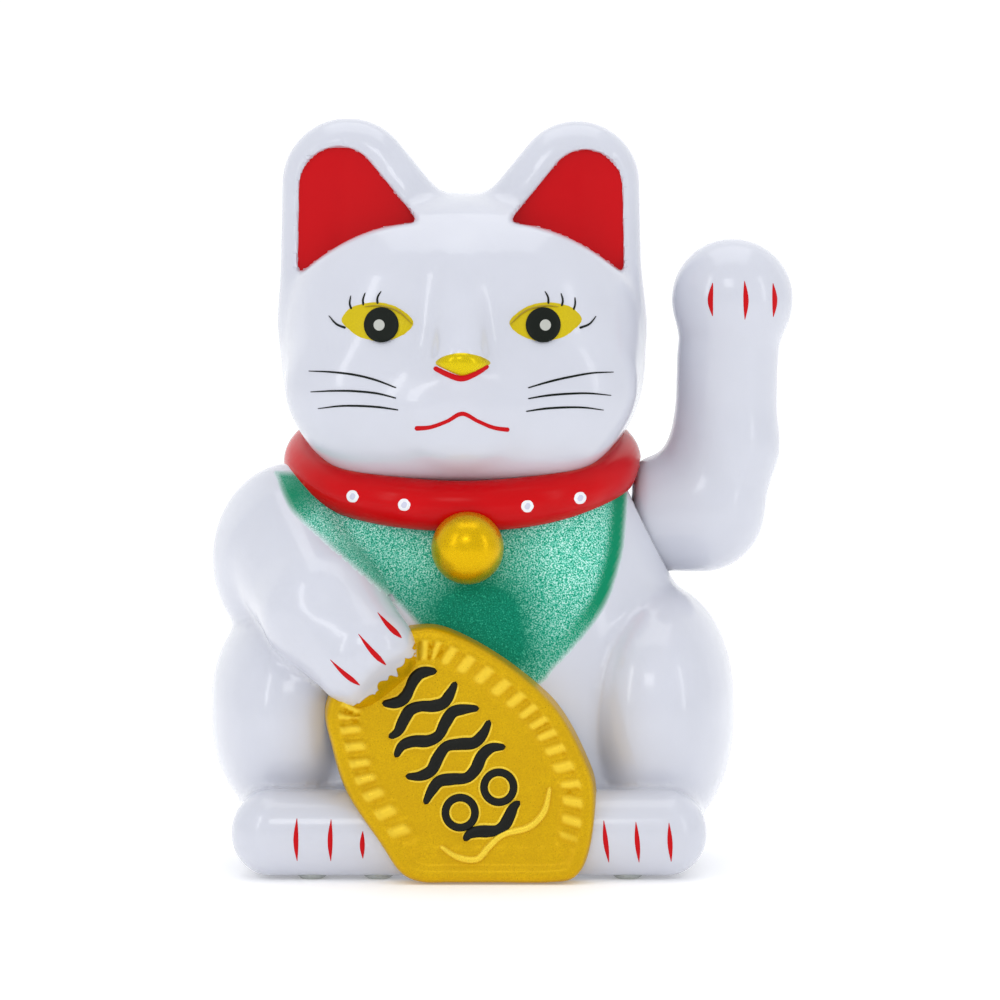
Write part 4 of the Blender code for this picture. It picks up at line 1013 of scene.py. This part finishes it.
def coin_height(gap, run, total, z):
    """Relief of the coin's face from the distance to its edge, the way along it and the height."""
    inward = 1 - np.clip(gap / COIN_ROUND, 0, 1)
    round_off = -COIN_ROUND * (1 - np.sqrt(np.clip(1 - inward**2, 0, 1)))
    uneven = 0.16 * gap + 0.6 * np.sin(10 * math.pi * run / total)
    wave = np.abs(np.sin(math.pi * RIBS * run / total + uneven))
    window = np.clip((gap - 1.9) / 0.8, 0, 1) * np.clip((RIB_END - gap) / 1.4, 0, 1)
    window *= np.clip((z - 5.5) / 5, 0, 1)
    ribs = wave**1.3 * window
    step = -FIELD_DEPTH * np.clip(gap - 2.4, 0, 1)
    return round_off + ribs * 0.95 + step, ribs


def build_coin():
    """The face with its ribs and sunk field, then the side in three bands."""
    outline = curve(COIN_EDGE, 10, closed=True)
    outline[:, 1] = np.maximum(outline[:, 1], COIN_FOOT)
    flat, faces = filled(outline, 0.45)
    gap, run = edge_distance(flat, outline)
    total = np.linalg.norm(np.roll(outline, -1, axis=0) - outline, axis=1).sum()
    height, ribs = coin_height(gap, run, total, flat[:, 1])
    points = coin_point(*flat.T, height)
    faces = [list(f) for f in facing_front(points, faces)]
    outward = outline - outline.mean(0)
    outward /= np.linalg.norm(outward, axis=1)[:, None]
    count = len(outline)
    rings = [list(range(count))]
    for depth, grow in COIN_SIDE:
        ring = outline + outward * grow
        ring[:, 1] = np.maximum(ring[:, 1], COIN_FOOT)
        rings.append(list(range(len(points), len(points) + count)))
        points = np.concatenate([points, coin_point(*ring.T, np.full(count, -COIN_ROUND - depth))])
    for a, b in zip(rings, rings[1:]):
        for i in range(count):
            j = (i + 1) % count
            faces.append([a[i], a[j], b[j], b[i]])
    made = add_piece("coin_body", points, faces, COIN_GOLD, "coin_gold", FIGURE, angle=60)
    # Painted highlight on the ribs' tops: the higher a rib stands, the more its gold is lightened.
    bright = np.clip((ribs - 0.45) / 0.5, 0, 1) * 0.75
    set_shade(made, "raised", np.concatenate([bright, np.zeros(len(points) - len(bright))]))
    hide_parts("koban_coin")
    build_coin_marks()


def coin_stroke(name, path, widths, lift, look, slot, closed=False):
    """A raised stroke in the coin's sunk field."""
    flat, height, faces = stroke_mesh(path, widths, lift, columns=9, spacing=0.35, closed=closed)
    points = coin_point(*flat.T, height - FIELD_DEPTH)
    add_piece(name, points, facing_front(points, faces), look, slot, FIGURE)


def build_coin_marks():
    """A plain pattern of waves and rings in the sunk field, in no script."""
    axis = np.array((math.sin(COIN_LEAN), -math.cos(COIN_LEAN)))  # down the coin's long way
    side = np.array((-axis[1], axis[0]))
    middle = np.array((-0.6, 23.4))
    rows = ((-17.5, -6.0, 6.5), (-12.6, -8.5, 8.5), (-7.7, -9.5, 9.5), (-2.8, -9.8, 10.0), (2.1, -9.6, 9.8),
            (13.9, -7.0, 6.4))
    black = (1.3, 2.5, 2.8, 2.4, 2.8, 2.5, 1.3)
    for number, (down, start, end) in enumerate(rows, 1):
        t = np.linspace(start, end, 9)
        swing = 1.2 * np.sin((t + down) * 0.55)
        path = middle + t[:, None] * side + (down + swing)[:, None] * axis
        wider = [w + 0.6 for w in black]
        coin_stroke(f"coin_wave_edge_{number}", path, wider, 0.35, COIN_BRIGHT, "coin_edge")
        coin_stroke(f"coin_wave_{number}", path, black, 0.75, COIN_BLACK, "paint_black")
    turn = np.linspace(0, 2 * math.pi, 25)
    for number, across in enumerate((4.4, -4.6), 1):
        centre = middle + across * side + 8.2 * axis
        path = centre + 2.9 * np.stack([np.cos(turn), np.sin(turn)], 1)
        coin_stroke(f"coin_ring_edge_{number}", path, [2.4, 2.4], 0.35, COIN_BRIGHT, "coin_edge", True)
        coin_stroke(f"coin_ring_{number}", path, [1.8, 1.8], 0.75, COIN_BLACK, "paint_black", True)
    scroll = ((-4.0, 7.6), (-0.5, 5.4), (3.2, 5.0), (5.6, 7.4), (8.4, 9.8), (13.4, 11.2), (16.4, 14.2),
              (17.6, 19.0))
    coin_stroke("coin_scroll", scroll, (0.9, 1.5, 1.5, 1.5, 1.5, 1.5, 0.9), 0.7, COIN_BRIGHT, "coin_edge")


# ---- carried-over nodes
def dress_frame():
    """Gives the inner parts, which keep their CAD meshes, their looks."""
    looks = {
        "pad_rubber": PAD, "base_white": BASE_WHITE, "frame_nylon": NYLON, "steel": STEEL,
        "magnet_nickel": NICKEL, "contact_nickel": NICKEL, "coil_copper": COPPER, "board_green": BOARD,
        "component_black": BLACK, "capacitor_sleeve": SLEEVE, "cell_sleeve": SLEEVE, "wire_red": WIRE,
    }
    for row in frame["record"]["subparts"]:
        look = looks.get(row.get("material_slot"))
        node = frame["nodes"].get(row["node"])
        if look and node:
            for place in node.material_slots:
                place.material = look.made


# ---- floor, light and camera
def build_stage():
    """A white sweep: floor, bend and back wall, in metres."""
    mesh = bpy.data.meshes.new("floor")
    reach, back, rise, bend = 3.0, 1.6, 2.5, 0.5
    angles = np.linspace(0.1, math.pi / 2, 12)
    profile = [(-reach, 0.0), (back - bend, 0.0)]
    profile += [(back - bend + bend * math.sin(a), bend - bend * math.cos(a)) for a in angles]
    profile.append((back, rise))
    points = [(x, y, z) for y, z in profile for x in (-reach, reach)]
    faces = [(2 * i, 2 * i + 1, 2 * i + 3, 2 * i + 2) for i in range(len(profile) - 1)]
    mesh.from_pydata(points, [], faces)
    mesh.shade_smooth()
    look = Look("floor_look", (0.94, 0.94, 0.94), 0.6)
    look.set("Emission Color", (1.0, 1.0, 1.0, 1.0))
    look.set("Emission Strength", 0.18)
    mesh.materials.append(look.made)
    floor = bpy.data.objects.new("floor", mesh)
    bpy.context.scene.collection.objects.link(floor)


def area_light(name, where, size, power):
    """A rectangular light aimed at the figure's middle."""
    data = bpy.data.lights.new(name, "AREA")
    data.shape = "RECTANGLE"
    data.size, data.size_y = size
    data.energy = power
    made = bpy.data.objects.new(name, data)
    bpy.context.scene.collection.objects.link(made)
    made.location = where
    aim = Vector((0, 0, 0.07)) - Vector(where)
    made.rotation_euler = aim.to_track_quat("-Z", "Y").to_euler()


def build_light():
    world = bpy.data.worlds.new("studio")
    bpy.context.scene.world = world
    world.use_nodes = True
    background = world.node_tree.nodes["Background"]
    background.inputs["Color"].default_value = (0.96, 0.975, 1.0, 1.0)
    background.inputs["Strength"].default_value = 0.87
    area_light("key", (-0.75, -0.7, 0.55), (0.12, 0.7), 0.8)
    area_light("fill", (0.85, -0.5, 0.4), (0.12, 0.7), 0.5)
    area_light("front", (-0.12, -1.1, 0.75), (0.35, 0.3), 0.9)
    area_light("top", (0.0, 0.1, 1.1), (0.9, 0.9), 2.4)
    bpy.context.scene.view_settings.view_transform = "Standard"


def build_camera():
    """A long lens from the front, slightly above, framed as in the photo."""
    elevation = math.radians(3.0)
    distance = 1200 * MM
    back = Vector((0, -math.cos(elevation), math.sin(elevation)))
    target = (Vector((7.79, 0, 73.0)) + ORIGIN) * MM
    data = bpy.data.cameras.new("camera")
    data.sensor_width = 36
    data.lens = 213.5
    camera = bpy.data.objects.new("camera", data)
    bpy.context.scene.collection.objects.link(camera)
    camera.location = target + back * distance
    camera.rotation_euler = (-back).to_track_quat("-Z", "Y").to_euler()
    bpy.context.scene.camera = camera


build_camera()
build_light()
build_stage()
dress_frame()
build_figure()
build_arm()
build_ears()
build_face()
build_claws()
build_gilding()
build_collar()
build_bell()
build_bib()
build_coin()
